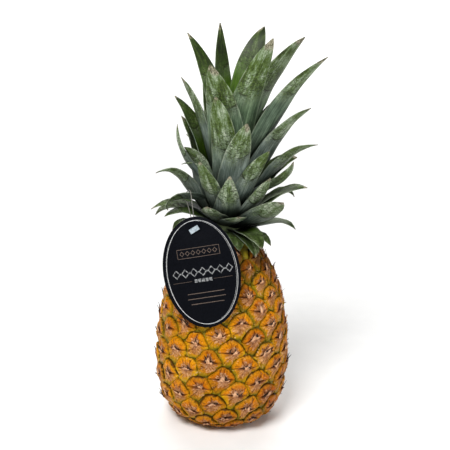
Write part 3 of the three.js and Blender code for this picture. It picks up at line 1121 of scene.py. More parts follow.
@dataclass
class Rind:
    """The fruit's skin: a core in the grooves, one moulded tile for each eye, flakes and hairs.

    Lifts are heights in mm out from the outline over the crests. arch_half_width and arch_height are
    the size of the arch that ends an eye above, ray_run the start, end and step of the walk to a
    tile's rim, and rings the shares of the way out to it.
    """

    arch_half_width: float = 12.9
    arch_height: float = 11.6
    groove_lift: float = -1.8
    pocket_drop: float = 1.2
    core_lift: float = -2.5
    skirt_lift: float = -5.5
    lobe_lift: float = 0.7
    lobe_round: float = 2.2
    bract_round: float = 1.3
    slit_lift: float = -2.3
    crease_depth: float = 1.5
    keel_height: float = 0.7
    keel_angle: float = 232.0
    grain_height: float = 0.22
    tile_clearance: float = 0.15
    strand_clearance: float = 0.1
    full_size_radius: float = 48.0
    least_size: float = 0.35
    full_radius: float = 60.0
    full_step: float = 1.2
    upper_rays: int = 19
    lower_rays: int = 17
    ray_run: tuple[float, float, float] = (0.5, 26.0, 0.04)
    rings: tuple[float, ...] = (0.07, 0.15, 0.25, 0.36, 0.48, 0.6, 0.71, 0.8, 0.87, 0.93, 0.97, 1.0)
    socket_radius: float = 13.4
    socket_depth: float = 9.3
    neck_radius: float = 19.0
    core_samples: int = 90
    foot_samples: int = 40
    core_sides: int = 128
    dry_bract: Stops = (
        (0.0, "8a5838"), (0.25, "c28c64"), (0.6, "e4b48a"), (0.85, "cc9874"), (1.0, "4a3024"),
    )
    dry_hair: Stops = ((0.0, "6a4432"), (0.35, "35221a"), (1.0, "1a1310"))

    def __post_init__(self) -> None:
        """Lay out the eyes, the rays of a tile and each eye's own creases."""
        self.outline = Outline()
        self.number = np.arange(LOWEST_EYE, HIGHEST_EYE + 1).astype(float)
        self.azimuth = FIRST_AZIMUTH + DIVERGENCE * self.number
        self.arc = FIRST_ARC + self.number * (ARC_STEP - ARC_STEP_LOSS * self.number)
        self.stretch = (ARC_STEP - 2 * ARC_STEP_LOSS * self.number) / self.full_step
        self.size = np.clip(self.outline.radius(self.arc) / self.full_size_radius, self.least_size, 1.0)

        # A ray's side is 1 above the slit, -1 below it and 0 in it.
        upper = np.linspace(0, math.pi, self.upper_rays)
        lower = np.linspace(math.pi, 2 * math.pi, self.lower_rays)
        self.angle = np.concatenate([upper, [math.pi], lower, [2 * math.pi]])
        self.side = np.concatenate([np.ones(self.upper_rays), [0.0], -np.ones(self.lower_rays), [0.0]])
        self.ring = np.array(self.rings)[:, None, None]

        self.eye = self.number[None, :, None]
        self.three = chance(self.eye, 7) > 0.4
        first = np.where(self.three, Sepals.THREE.value[0], Sepals.TWO.value[0])
        second = Sepals.THREE.value[1] + between(self.eye, 9, -16, 16)
        self.right = np.radians(first + between(self.eye, 8, -16, 16))
        self.left = np.where(self.three, np.radians(second), self.right)
        self.keel = np.radians(self.keel_angle + between(self.eye, 12, -8, 8))

    def arch(self, across: np.ndarray) -> np.ndarray:
        """Give the height of an eye's arch at distances across it.

        Args:
            across: Distances from the eye's middle, in mm.

        Returns:
            The heights over its centre, far below it where there is no arch.
        """
        share = np.abs(across) / self.arch_half_width
        top = self.arch_height * (1 - np.minimum(share, 1.0) ** 2.3) ** 0.8
        return np.where(share < 1, top, NO_ARCH)

    def reach(self) -> np.ndarray:
        """Walk along each ray to the tile's rim: its own arch above, its neighbours' arches below.

        Returns:
            The length of each ray, in mm.
        """
        run = np.arange(*self.ray_run)
        x = np.cos(self.angle)[:, None] * run
        y = np.sin(self.angle)[:, None] * run
        inside = (np.abs(x) < self.arch_half_width) & (y < self.arch(x))
        for ahead in NEIGHBOURS:
            turn = (ahead * DIVERGENCE + 180) % 360 - 180
            sideways = math.radians(turn) * self.full_radius
            inside &= y > self.arch(x + sideways) - ahead * self.full_step
        return run[np.argmin(inside, axis=1)]

    def over(
        self, eye: np.ndarray, x: np.ndarray, y: np.ndarray, lift: np.ndarray, clearance: float
    ) -> np.ndarray:
        """Give points over the eyes, and keep them off the ground.

        Args:
            eye: The index of the eye that each row of points belongs to.
            x: Distances across the eye, in mm, one row for each.
            y: Distances up the eye, in mm.
            lift: Height out from the outline, in mm, for an eye of full size.
            clearance: The least height over the ground, in mm.

        Returns:
            The points, with x, y and z along the last axis.
        """
        shape = (-1, *[1] * (x.ndim - 1))
        own = (self.azimuth, self.arc, self.stretch, self.size)
        azimuth, arc, stretch, size = (values[eye].reshape(shape) for values in own)
        turn = np.degrees(x / self.full_radius)
        points = self.outline.place(azimuth + turn, arc + y * stretch, lift * size)
        points[..., 2] = np.maximum(points[..., 2], clearance)
        return points

    def grid(self) -> TileGrid:
        """Lay out the tiles' points, with a slit that opens and smiles in the middle of each.

        Returns:
            The points, for every tile, ring and ray.
        """
        reach = self.reach()
        r = self.ring * reach * np.where(self.side >= 0, between(self.eye, 1, 0.95, 1.04), 1.0)
        swirl = np.radians(between(self.eye, 2, -9, 9)) * (1 - self.ring) ** 0.7
        opening = 0.14 + between(self.eye, 3, 0.25, 0.75) * (1 - self.ring) ** 1.3
        smile = between(self.eye, 4, -0.3, 1.6)
        level = (1 - np.abs(np.sin(self.angle))) ** 2
        x = r * np.cos(self.angle + swirl)
        y = r * np.sin(self.angle + swirl) + self.side * level * opening * (1 - 0.4 * self.ring)
        y = y + smile * (x / self.arch_half_width) ** 2 * level * (1 - self.ring**4)
        return TileGrid(x, y, r, self.angle, (1 - self.ring) * reach)

    def lobe_tops(self, grid: TileGrid) -> np.ndarray:
        """Shape the lobes above the slit, with a dent in the middle and creases between them.

        Args:
            grid: The tiles' points.

        Returns:
            The lift of the lobes' skin.
        """
        top = self.lobe_lift + between(self.eye, 5, -0.35, 0.45) - 1.5 * bell(grid.r, 3.6)
        top = top - 0.9 * bell(np.maximum(grid.beside(0), 0), 0.9)
        top = top + between(self.eye, 6, -0.5, 0.5) * np.cos(self.angle) * smooth(grid.r, 2, 8)
        for line, share in ((self.right, 1.0), (self.left, self.three)):
            top = top - self.crease_depth * share * grid.valley(line, 1.0, 1.5, 4.5)
        return top

    def bract_tops(self, grid: TileGrid) -> np.ndarray:
        """Shape the bract below the slit, with a lip and a keel to the corner between two eyes.

        Args:
            grid: The tiles' points.

        Returns:
            The lift of the bract's skin.
        """
        top = between(self.eye, 11, 0.7, 1.7) * bell(grid.r, 5.5)
        top = top - 0.9 * smooth(self.ring, 0.35, 1.0) - 0.1
        top = top + self.keel_height * grid.valley(self.keel, 2.0, 1.5, 6)
        return top + 0.5 * bell(np.maximum(-grid.beside(0), 0) - 0.4, 1.1)

    def relief(self, grid: TileGrid) -> np.ndarray:
        """Round lobes and bracts down to the groove, which is deeper in its pockets.

        Args:
            grid: The tiles' points.

        Returns:
            The lift of the tiles' skin.
        """
        corner = smooth(np.abs(grid.r * np.cos(self.angle)), 9.5, 12.5)
        below = smooth(-grid.beside(0), 8.5, 12)
        upper = self.groove_lift - self.pocket_drop * corner
        lower = self.groove_lift - self.pocket_drop * np.maximum(corner, below)
        lobes = upper + (self.lobe_tops(grid) - upper) * rounded(grid.edge, self.lobe_round)
        bracts = lower + (self.bract_tops(grid) - lower) * rounded(grid.edge, self.bract_round)
        slits = self.slit_lift + (lower - self.slit_lift) * smooth(self.ring, 0.8, 1.0)
        lift = np.where(self.side > 0, lobes, np.where(self.side < 0, bracts, slits))
        grain = chance(np.arange(lift.size).reshape(lift.shape), 13) - 0.5
        return lift + self.grain_height * grain * smooth(grid.edge, 0, 2)

    def stack(self, values: np.ndarray, centre: float, skirt: float | None = None) -> np.ndarray:
        """Arrange values on rings as one row for each tile, with its centre, skirt and closing point.

        Args:
            values: The values by ring, eye and ray.
            centre: The value at the tile's centre.
            skirt: The value on the skirt and its closing point; None gives the skirt the outer ring's
                values and the closing point the centre's.

        Returns:
            The values by tile and vertex.
        """
        count = len(self.number)
        full = np.broadcast_to(values, (len(self.rings), count, len(self.angle)))
        rings = np.moveaxis(full, 1, 0).reshape(count, -1)
        rim = full[-1] if skirt is None else np.full_like(full[-1], skirt)
        under = np.full((count, 1), centre if skirt is None else skirt)
        return np.hstack([np.full((count, 1), centre), rings, rim, under])

    def marks(self, grid: TileGrid) -> dict[str, np.ndarray]:
        """Work out what the skin's material reads at each vertex.

        Args:
            grid: The tiles' points.

        Returns:
            Attribute values by name.
        """
        x, y = grid.x, grid.y
        low = smooth(self.arc, 75, 20)[None, :, None]
        drawn = chance(self.eye, 20) - 0.5
        lobe_age = 0.95 * smooth(grid.r, 8.6, 2.4)
        bract_age = 1.0 - 0.9 * smooth(np.hypot(x / 8.4, y / 10.4), 0.3, 1.1)
        age = np.where(self.side > 0, lobe_age, bract_age)
        age = age + 0.3 * drawn + 0.25 * low * (1 - self.ring**3)
        is_lobe = (self.side > 0) + 0.5 * (self.side == 0)
        azimuth = np.radians(self.azimuth)[None, :, None]
        # Random ripeness, with painted light: a little lighter on the low eyes, lighter on the left and
        # darker on the right.
        ripe_and_painted_light = 0.5 + 0.9 * drawn + 0.1 * low - 0.25 * np.sin(azimuth)
        slit = (self.side == 0) * smooth(self.ring, 1.0, 0.75)
        length = np.maximum(np.hypot(x, y), 1e-6)
        seed = self.eye * 1.37 + 0.05 * grid.r
        lines = [x * np.sin(line) - y * np.cos(line) for line in (self.right, self.left, self.keel)]
        columns = {
            "eye_zone": [self.stack(is_lobe, 0.5, 0.0), self.stack(1 - self.ring, 0.4, 0.0),
                         self.stack(age, 0.8, 0.0), self.stack(np.clip(ripe_and_painted_light, 0, 1), 0.5, 0.5)],
            "eye_fan": [self.stack(values, 0.0) for values in (x / length, y / length, seed)],
            "eye_spot": [self.stack(values, 0.0) for values in (x, y, self.eye)],
            "eye_lines": [self.stack(values, 0.0) for values in lines],
            "eye_slit": [self.stack(slit, 0.9, 0.0)],
        }
        return {name: np.stack(rows, axis=-1) for name, rows in columns.items()}

    def tiles(self) -> Piece:
        """Mould the tiles of all eyes as one piece.

        Returns:
            The piece.
        """
        grid = self.grid()
        lift = self.stack(self.relief(grid), self.slit_lift + 0.6, self.skirt_lift)
        eyes = np.arange(len(self.number))
        x, y = self.stack(grid.x, 0.0), self.stack(grid.y, 0.0)
        points = self.over(eyes, x, y, lift, self.tile_clearance)
        rays, rows = len(self.angle), len(self.rings) + 1
        walls = 1 + tube_quads(rows, rays)[:, [0, 3, 2, 1]]
        under = 1 + rows * rays
        faces = np.vstack([fan(0, 1, rays), walls, fan(under, under - rays, rays, flip=True)])
        shift = eyes[:, None, None] * points.shape[1]
        every = np.where(faces[None] >= 0, faces[None] + shift, -1).reshape(-1, 4)
        piece = loose_mesh("rind_eyes", points.reshape(-1, 3), every)
        for name, values in self.marks(grid).items():
            add_numbers(piece, name, values)
        return piece

    def core(self) -> Piece:
        """Turn the body that shows in the grooves, with the stalk's socket and the neck.

        Returns:
            The piece.
        """
        arc = np.linspace(0, self.outline.arcs[-1], self.core_samples)
        radius, height = self.outline.section(arc, np.full_like(arc, self.core_lift))
        shown = (height > 0.4) & (height < FRUIT_TOP - 4) & (radius > self.neck_radius)
        foot = slice(self.foot_samples)
        rim = float(np.interp(0.0, height[foot], radius[foot]))
        profile = [(0, self.socket_depth), (self.socket_radius, self.socket_depth),
                   (self.socket_radius, 0), (rim, 0)]
        profile += list(zip(radius[shown].tolist(), height[shown].tolist()))
        profile += [(self.neck_radius, FRUIT_TOP - 3), (self.neck_radius - 1, FRUIT_TOP),
                    (0, FRUIT_TOP)]
        return turned("rind_core", profile, self.core_sides)

    def strands(self, name: str, rows: list[Row], across: int, along: int) -> Piece:
        """Make thin tapered strands that start at the eyes.

        Args:
            name: The piece's name.
            rows: For each strand: eye index, start x and y, direction in degrees, length, width,
                thickness, lift at the root, lift at the tip and bend in degrees.
            across: Columns of the strand's upper face, less one.
            along: Rows along the strand, less one.

        Returns:
            The new object.
        """
        table = np.array(rows)
        s = np.linspace(0, 1, along + 1)[None, :, None]
        loop = np.concatenate([np.linspace(-1, 1, across + 1), np.linspace(1, -1, across + 1)])
        under = np.repeat([0.0, 1.0], across + 1)
        start_x, start_y, heading, length, width, thick, root, tip, bend = (
            table[:, i][:, None, None] for i in range(1, 10)
        )
        direction = np.radians(heading + bend * (s - 0.5))
        wide = width / 2 * (1 - s**1.5) ** 0.8 * (0.75 + 0.6 * s * (1 - s)) + 0.12
        x = start_x + length * s * np.cos(direction) - loop * wide * np.sin(direction)
        y = start_y + length * s * np.sin(direction) + loop * wide * np.cos(direction)
        keel = 0.35 * np.minimum(width, 3) / 3 * (1 - loop**2) * (1 - s)
        lift = root + (tip - root) * s**1.6 + keel - under * thick * (1 - 0.6 * s)
        place = self.over(table[:, 0].astype(int), x, y, lift, self.strand_clearance)

        size = len(loop)
        caps = []
        for start, turn in ((0, -1), (along * size, 1)):
            for column in range(across):
                pair = size - 2 - column
                caps.append([start + i for i in (column, column + 1, pair, pair + 1)][::turn])
        faces = np.vstack([tube_quads(along + 1, size), np.array(caps)])
        shift = np.arange(len(table))[:, None, None] * size * (along + 1)
        piece = loose_mesh(name, place.reshape(-1, 3), (faces[None] + shift).reshape(-1, 4))
        open_mesh(piece)
        close_mesh()
        add_numbers(piece, "run", s + 0 * x)
        return piece

    def flakes(self) -> Piece:
        """Make the papery bract tips that lie over the middle of the eyes.

        Returns:
            The piece.
        """
        rows = []
        for i, k in enumerate(self.number):
            rows.append((i, between(k, 30, -0.8, 0.8), -2.4, between(k, 31, 66, 114),
                         between(k, 32, 6.0, 9.5), between(k, 33, 3.2, 5.6), 0.5, 0.9,
                         between(k, 34, 1.4, 3.2), between(k, 35, -25, 25)))
            for number, heading in enumerate((158, 22, 128)):
                if chance(k, 36 + number) > 0.36:
                    rows.append((i, 0.0, -1.0, heading + between(k, 40 + number, -16, 16),
                                 between(k, 44 + number, 3.2, 6.2), between(k, 47 + number, 1.0, 2.4),
                                 0.4, 0.9, between(k, 50 + number, 0.8, 2.8), 10))
        return self.strands("bract_flakes", rows, 2, 5)

    def hairs(self) -> Piece:
        """Make the dark dry hairs that stand out from the bract tips, but for the lowest eyes.

        Returns:
            The piece.
        """
        rows = []
        for i, k in enumerate(self.number):
            for salt, start in ((60, 0.0), (67, -3.0), (74, 3.0)):
                if chance(k, salt) < 0.4 or self.arc[i] < 50:
                    continue
                rows.append((i, start + between(k, salt + 1, -0.8, 0.8), between(k, salt + 6, 0, 0.8),
                             between(k, salt + 2, 50, 130), between(k, salt + 3, 2.5, 7.0),
                             between(k, salt + 4, 0.9, 1.8), 0.7, 1.0,
                             2.2 + 3.0 * chance(k, salt + 5) ** 2, between(k, salt + 4, -40, 40)))
        return self.strands("bract_hairs", rows, 1, 6)

    def build(self) -> None:
        """Make and dress every piece of the rind."""
        for piece, finish in (
            (self.tiles(), RindFinish()),
            (self.core(), GrooveFinish()),
            (self.flakes(), PaperFinish("bract_paper", self.dry_bract)),
            (self.hairs(), PaperFinish("bract_hair", self.dry_hair)),
        ):
            dress(piece, "rind", finish.build())
            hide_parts("fruit")


@dataclass
class CutStalk:
    """The cut end of the stalk in the fruit's base, with a rough fibrous face."""

    radius: float = 13.0
    depth: float = 9.0
    bevel: float = 0.6
    roughness: float = 0.25
    rough_radius: float = 11.0

    def build(self) -> None:
        """Make and dress the stalk."""
        profile = [(0, 0.25), (4, 0.2), (8, 0.35), (11.2, 0.1), (12.3, 0.0), (12.8, 0.5),
                   (self.radius, 1.2), (self.radius, self.depth - self.bevel),
                   (self.radius - self.bevel, self.depth), (0, self.depth)]
        stalk = turned("stalk_end", profile, 64)
        points = read_points(stalk)
        face = (points[:, 2] < 0.4) & (np.hypot(points[:, 0], points[:, 1]) < self.rough_radius)
        points[:, 2] += self.roughness * chance(np.arange(len(points)), 70) * face
        write_points(stalk, points)
        fibre = PlainFinish("stalk_fibre", "8f7442", "cdb27c", 420, 0.85, 0.4)
        dress(stalk, "cut_stalk", fibre.build())
        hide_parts("cut_stem")


# ---- Crown ----------------------------------------------------------------------------------


@dataclass(frozen=True)
class Leaf:
    """One leaf, laid out along a curve in an upright plane through the stem.

    Angles are in degrees, lengths in mm. The root and tip angles are measured from straight up, turn
    spins the blade about its own line, sway moves its tip sideways, and fullness keeps it wide.
    """

    azimuth: float
    root_height: float
    root_angle: float
    reach: float
    tip_height: float
    tip_angle: float
    width: float
    turn: float
    sway: float
    fullness: float

    def line(self, t: np.ndarray) -> tuple[np.ndarray, np.ndarray]:
        """Give points and directions along the leaf, as (reach, height).

        Args:
            t: Shares of the length from root to tip.

        Returns:
            The points and the unit directions.
        """
        share = np.clip((self.root_height - CROWN_BASE) / (STEM_TOP - CROWN_BASE), 0, 1)
        root = np.array([blend(STEM_RADIUS, share) - LEAF_ROOT_SINK, self.root_height])
        tip = np.array([self.reach, self.tip_height])
        handle = LEAF_HANDLE * np.linalg.norm(tip - root)
        start, end = (np.array([math.sin(a), math.cos(a)])
                      for a in np.radians((self.root_angle, self.tip_angle)))
        knots = [root, root + start * handle, tip - end * handle, tip]
        t = t[:, None]
        point = sum(c * (1 - t) ** (3 - i) * t**i * knots[i] for i, c in enumerate((1, 3, 3, 1)))
        slope = sum(c * (1 - t) ** (2 - i) * t**i * (knots[i + 1] - knots[i])
                    for i, c in enumerate((1, 2, 1)))
        return point, slope / np.linalg.norm(slope, axis=1)[:, None]

    def breadth(self, t: np.ndarray) -> np.ndarray:
        """Give the leaf's width at shares of its length.

        Args:
            t: Shares of the length from root to tip.

        Returns:
            The widths, in mm.
        """
        belly = np.minimum(t / 0.4, 1)
        taper = np.maximum((1 - t**self.fullness) ** 0.75, 0.05)
        return self.width * taper * (0.74 + 0.26 * belly * (2 - belly))

    def surface(self, u: np.ndarray, t: np.ndarray, seed: float) -> np.ndarray:
        """Give points of the leaf's outer face.

        Args:
            u: Place across the leaf, from -1 to 1.
            t: Share of the length.
            seed: A number of the leaf's own, for its small waves.

        Returns:
            The points in mm.
        """
        point, along = self.line(t)
        angle = math.radians(self.azimuth)
        outward = np.array([math.sin(angle), -math.cos(angle), 0.0])
        sideways = np.array([math.cos(angle), math.sin(angle), 0.0])
        upward = np.array([0.0, 0.0, 1.0])
        centre = point[:, :1] * outward + (self.sway * t**3)[:, None] * sideways
        centre[:, 0] += CROWN_LEAN * (point[:, 1] - CROWN_BASE)
        centre[:, 2] = point[:, 1]
        flat = along[:, 1:] * outward - along[:, :1] * upward
        spin = math.radians(self.turn) * smooth(t, 0, 0.5)[:, None]
        side = sideways * np.cos(spin) + flat * np.sin(spin)
        normal = flat * np.cos(spin) - sideways * np.sin(spin)
        breadth = self.breadth(t)
        cup = 0.2 * (1 - 0.5 * t) * breadth * u * u
        wave = 0.35 * np.sin(t * 9 + seed * 5) * u
        wave += 0.3 * np.sin(t * 21 + seed * 11 + u) * np.abs(u) ** 3
        wave += 0.25 * np.sin(t * 13 + seed * 3) * (1 - u * u)
        wave *= smooth(t, 0.05, 0.3) * smooth(t, 1.0, 0.85)
        return centre + side * (u * breadth / 2)[:, None] + normal * (wave - cup)[:, None]

    def length(self) -> float:
        """Measure the leaf along its curve, in mm."""
        point, _ = self.line(np.linspace(0, 1, 30))
        return float(np.linalg.norm(np.diff(point, axis=0), axis=1).sum())


@dataclass
class Crown:
    """The leafy crown: a leaning stem and all its leaves.

    A pair gives a figure of the hidden or the heart leaves at the first of them and at the last, but
    hidden_reach is the mean reach and what is added straight behind the stem.
    """

    columns: int = 10
    spacing: float = 4.5
    rib_thickness: float = 1.8
    edge_share: float = 0.3
    crease_share: float = 0.58
    crease_spread: float = 0.17
    seed_step: float = 0.37
    sharp_edge: float = 60.0
    golden_fraction: float = 0.618
    stem_sides: int = 40
    hidden_reach: Pair = (42.0, 22.0)
    hidden_shrink: float = 0.25
    hidden_root: Pair = (184.0, 234.0)
    hidden_root_angle: Pair = (70.0, 18.0)
    hidden_tip: Pair = (190.0, 318.0)
    hidden_tip_angle: Pair = (130.0, 15.0)
    heart_root: Pair = (236.0, 242.0)
    heart_reach: Pair = (20.0, 11.0)
    heart_tip: Pair = (284.0, 302.0)
    heart_width: Pair = (19.0, 15.0)
    outer: LeafFinish = LeafFinish(
        "leaf_outer",
        ((0.2, "29370e"), (0.38, "495e21"), (0.53, "64784e"), (0.68, "8a9b7c"), (0.88, "b6bfa8")),
        ((0.36, "343f39"), (0.5, "62726a"), (0.64, "9eaca6")),
        roughness=0.5, rim=0.5, young="c8dcaa",
    )
    inner: LeafFinish = LeafFinish(
        "leaf_inner",
        ((0.2, "182308"), (0.4, "2b3c12"), (0.62, "42561f"), (0.8, "65744c"), (1.0, "8a9474")),
        ((0.35, "1c2c08"), (0.5, "364f0e"), (0.65, "527618")),
        roughness=0.42, rim=0.2,
    )

    def hidden(self) -> list[Row]:
        """List the leaves round the back, from the base towards the heart.

        Returns:
            The numbers of a Leaf for each.
        """
        rows = []
        for i in range(HIDDEN_LEAVES):
            share = i / (HIDDEN_LEAVES - 1)
            offset = ((i * self.golden_fraction) % 1 - 0.5) * HIDDEN_SPREAD
            mean, more = self.hidden_reach
            reach = (mean + more * math.cos(math.radians(offset))) * (1 - self.hidden_shrink * share)
            reach += between(i, LEAF_SEED, -4, 4)
            tip = blend(self.hidden_tip, share**0.8) + between(i, LEAF_SEED + 1, -7, 7)
            width, turn = between(i, LEAF_SEED + 2, 24, 27), between(i, LEAF_SEED + 3, -12, 12)
            rows.append((180 + offset, blend(self.hidden_root, share),
                         blend(self.hidden_root_angle, share), reach, tip,
                         blend(self.hidden_tip_angle, share), width, turn, 0, PLAIN_FULLNESS))
        return rows

    def collar(self) -> list[Row]:
        """List the short leaves that fold down over the fruit's shoulder.

        Returns:
            The numbers of a Leaf for each.
        """
        rows = []
        for i in range(COLLAR_LEAVES):
            azimuth = 360 * i / COLLAR_LEAVES + between(i, LEAF_SEED + 4, 15, 27)
            reach, tip = between(i, LEAF_SEED + 5, 33, 37), between(i, LEAF_SEED + 6, 167, 171)
            rows.append((azimuth, 179, 66, reach, tip, 155, 18, 0, 0, PLAIN_FULLNESS))
        return rows

    def heart(self) -> list[Row]:
        """List the young upright leaves in the middle.

        Returns:
            The numbers of a Leaf for each.
        """
        rows = []
        for i in range(HEART_LEAVES):
            share = i / (HEART_LEAVES - 1)
            root, reach, tip, width = (
                blend(pair, share)
                for pair in (self.heart_root, self.heart_reach, self.heart_tip, self.heart_width)
            )
            rows.append((60 + i * DIVERGENCE, root, 8, reach, tip, 6, width, 0, 0, PLAIN_FULLNESS))
        return rows

    def thicken(self, piece: Piece, leaf: Leaf, u: np.ndarray, t: np.ndarray) -> None:
        """Give a blade its thickness, from a thick rib to thin edges.

        Args:
            piece: The blade's outer face.
            leaf: The leaf.
            u: Each vertex's place across the leaf, from -1 to 1.
            t: Each vertex's share of the length.
        """
        rib = np.minimum(self.rib_thickness, 0.5 + 0.15 * leaf.breadth(t)) / self.rib_thickness
        weight = rib * (self.edge_share + (1 - self.edge_share) * (1 - np.abs(u) ** 1.5))
        group = piece.vertex_groups.new(name="thick")
        for index, value in enumerate(weight.tolist()):
            group.add([index], value, "REPLACE")
        modify(piece, "SOLIDIFY", thickness=self.rib_thickness * MM, offset=-1, vertex_group="thick",
               material_offset=1, material_offset_rim=0)

    def blade(self, row: Row, seed: float, faces: Sequence[Material]) -> Piece:
        """Shape one leaf from a grid and thicken it.

        Args:
            row: The leaf's figures.
            seed: A number of the leaf's own.
            faces: The materials of the outer and the inner face.

        Returns:
            The leaf's object, with its inner face in the second material.
        """
        leaf = Leaf(*row)
        length = leaf.length()
        steps = max(8, round(length / self.spacing))
        clear_selection()
        bpy.ops.mesh.primitive_grid_add(x_subdivisions=self.columns, y_subdivisions=steps, size=2)
        piece = named("leaf")
        flat = read_points(piece)[:, :2]
        u, t = (flat / np.abs(flat).max(axis=0)).T
        t = 1 - (0.5 - t / 2) ** 1.15
        write_points(piece, leaf.surface(u, t, seed))

        # blade: centimetres across and along the leaf, and a number of its own. blade_lie: share of
        # the length, side from -1 to 1, and centimetres past the crease.
        across = u * leaf.breadth(t) / 20
        crease = self.crease_share + self.crease_spread * chance(seed, LEAF_SEED + 7)
        past = (t - crease) * length / 10 + 0.5 * (1 - u * u)
        age = (240 - leaf.root_height) / 60 + between(seed, LEAF_SEED + 8, -0.2, 0.2)
        add_numbers(piece, "blade", np.stack([across, t * length / 10, 0 * t + 7.3 * seed], axis=1))
        add_numbers(piece, "blade_lie", np.stack([t, u, past], axis=1))
        add_numbers(piece, "blade_age", np.full(len(t), age))
        for face in faces:
            piece.data.materials.append(face)
        self.thicken(piece, leaf, u, t)
        return piece

    def stem(self) -> Piece:
        """Turn the stem and lean it.

        Returns:
            The stem.
        """
        low, high = STEM_RADIUS
        sides = [(blend(STEM_RADIUS, share), blend((CROWN_BASE, STEM_TOP), share))
                 for share in np.linspace(0, 1, 13)[1:]]
        profile = [(0, CROWN_BASE), (low - 0.5, CROWN_BASE), (low, CROWN_BASE + 0.6), *sides,
                   (high - 2, STEM_TOP + 2), (0, STEM_TOP + 3)]
        stem = turned("crown_stem", profile, self.stem_sides)
        points = read_points(stem)
        points[:, 0] += CROWN_LEAN * (points[:, 2] - CROWN_BASE)
        write_points(stem, points)
        return stem

    def build(self) -> None:
        """Make and dress the crown."""
        faces = (self.outer.build(), self.inner.build())
        groups = (("crown_leaves", SHOWN_LEAVES), ("crown_back_leaves", self.hidden()),
                  ("crown_collar", self.collar()), ("crown_heart", self.heart()))
        seed = 0.0
        for name, rows in groups:
            blades = []
            for row in rows:
                seed += 1.0
                blades.append(self.blade(row, seed * self.seed_step, faces))
            piece = join(name, blades)
            shade(piece, self.sharp_edge)
            dress(piece, "crown_leaf")
            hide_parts("crown")
        skin = PlainFinish("stem_skin", "39472c", "7b8a5c", 150, 0.7, 0.4)
        stem = self.stem()
        dress(stem, "crown_leaf", skin.build())
        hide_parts("crown")


# ---- Hang tag -------------------------------------------------------------------------------


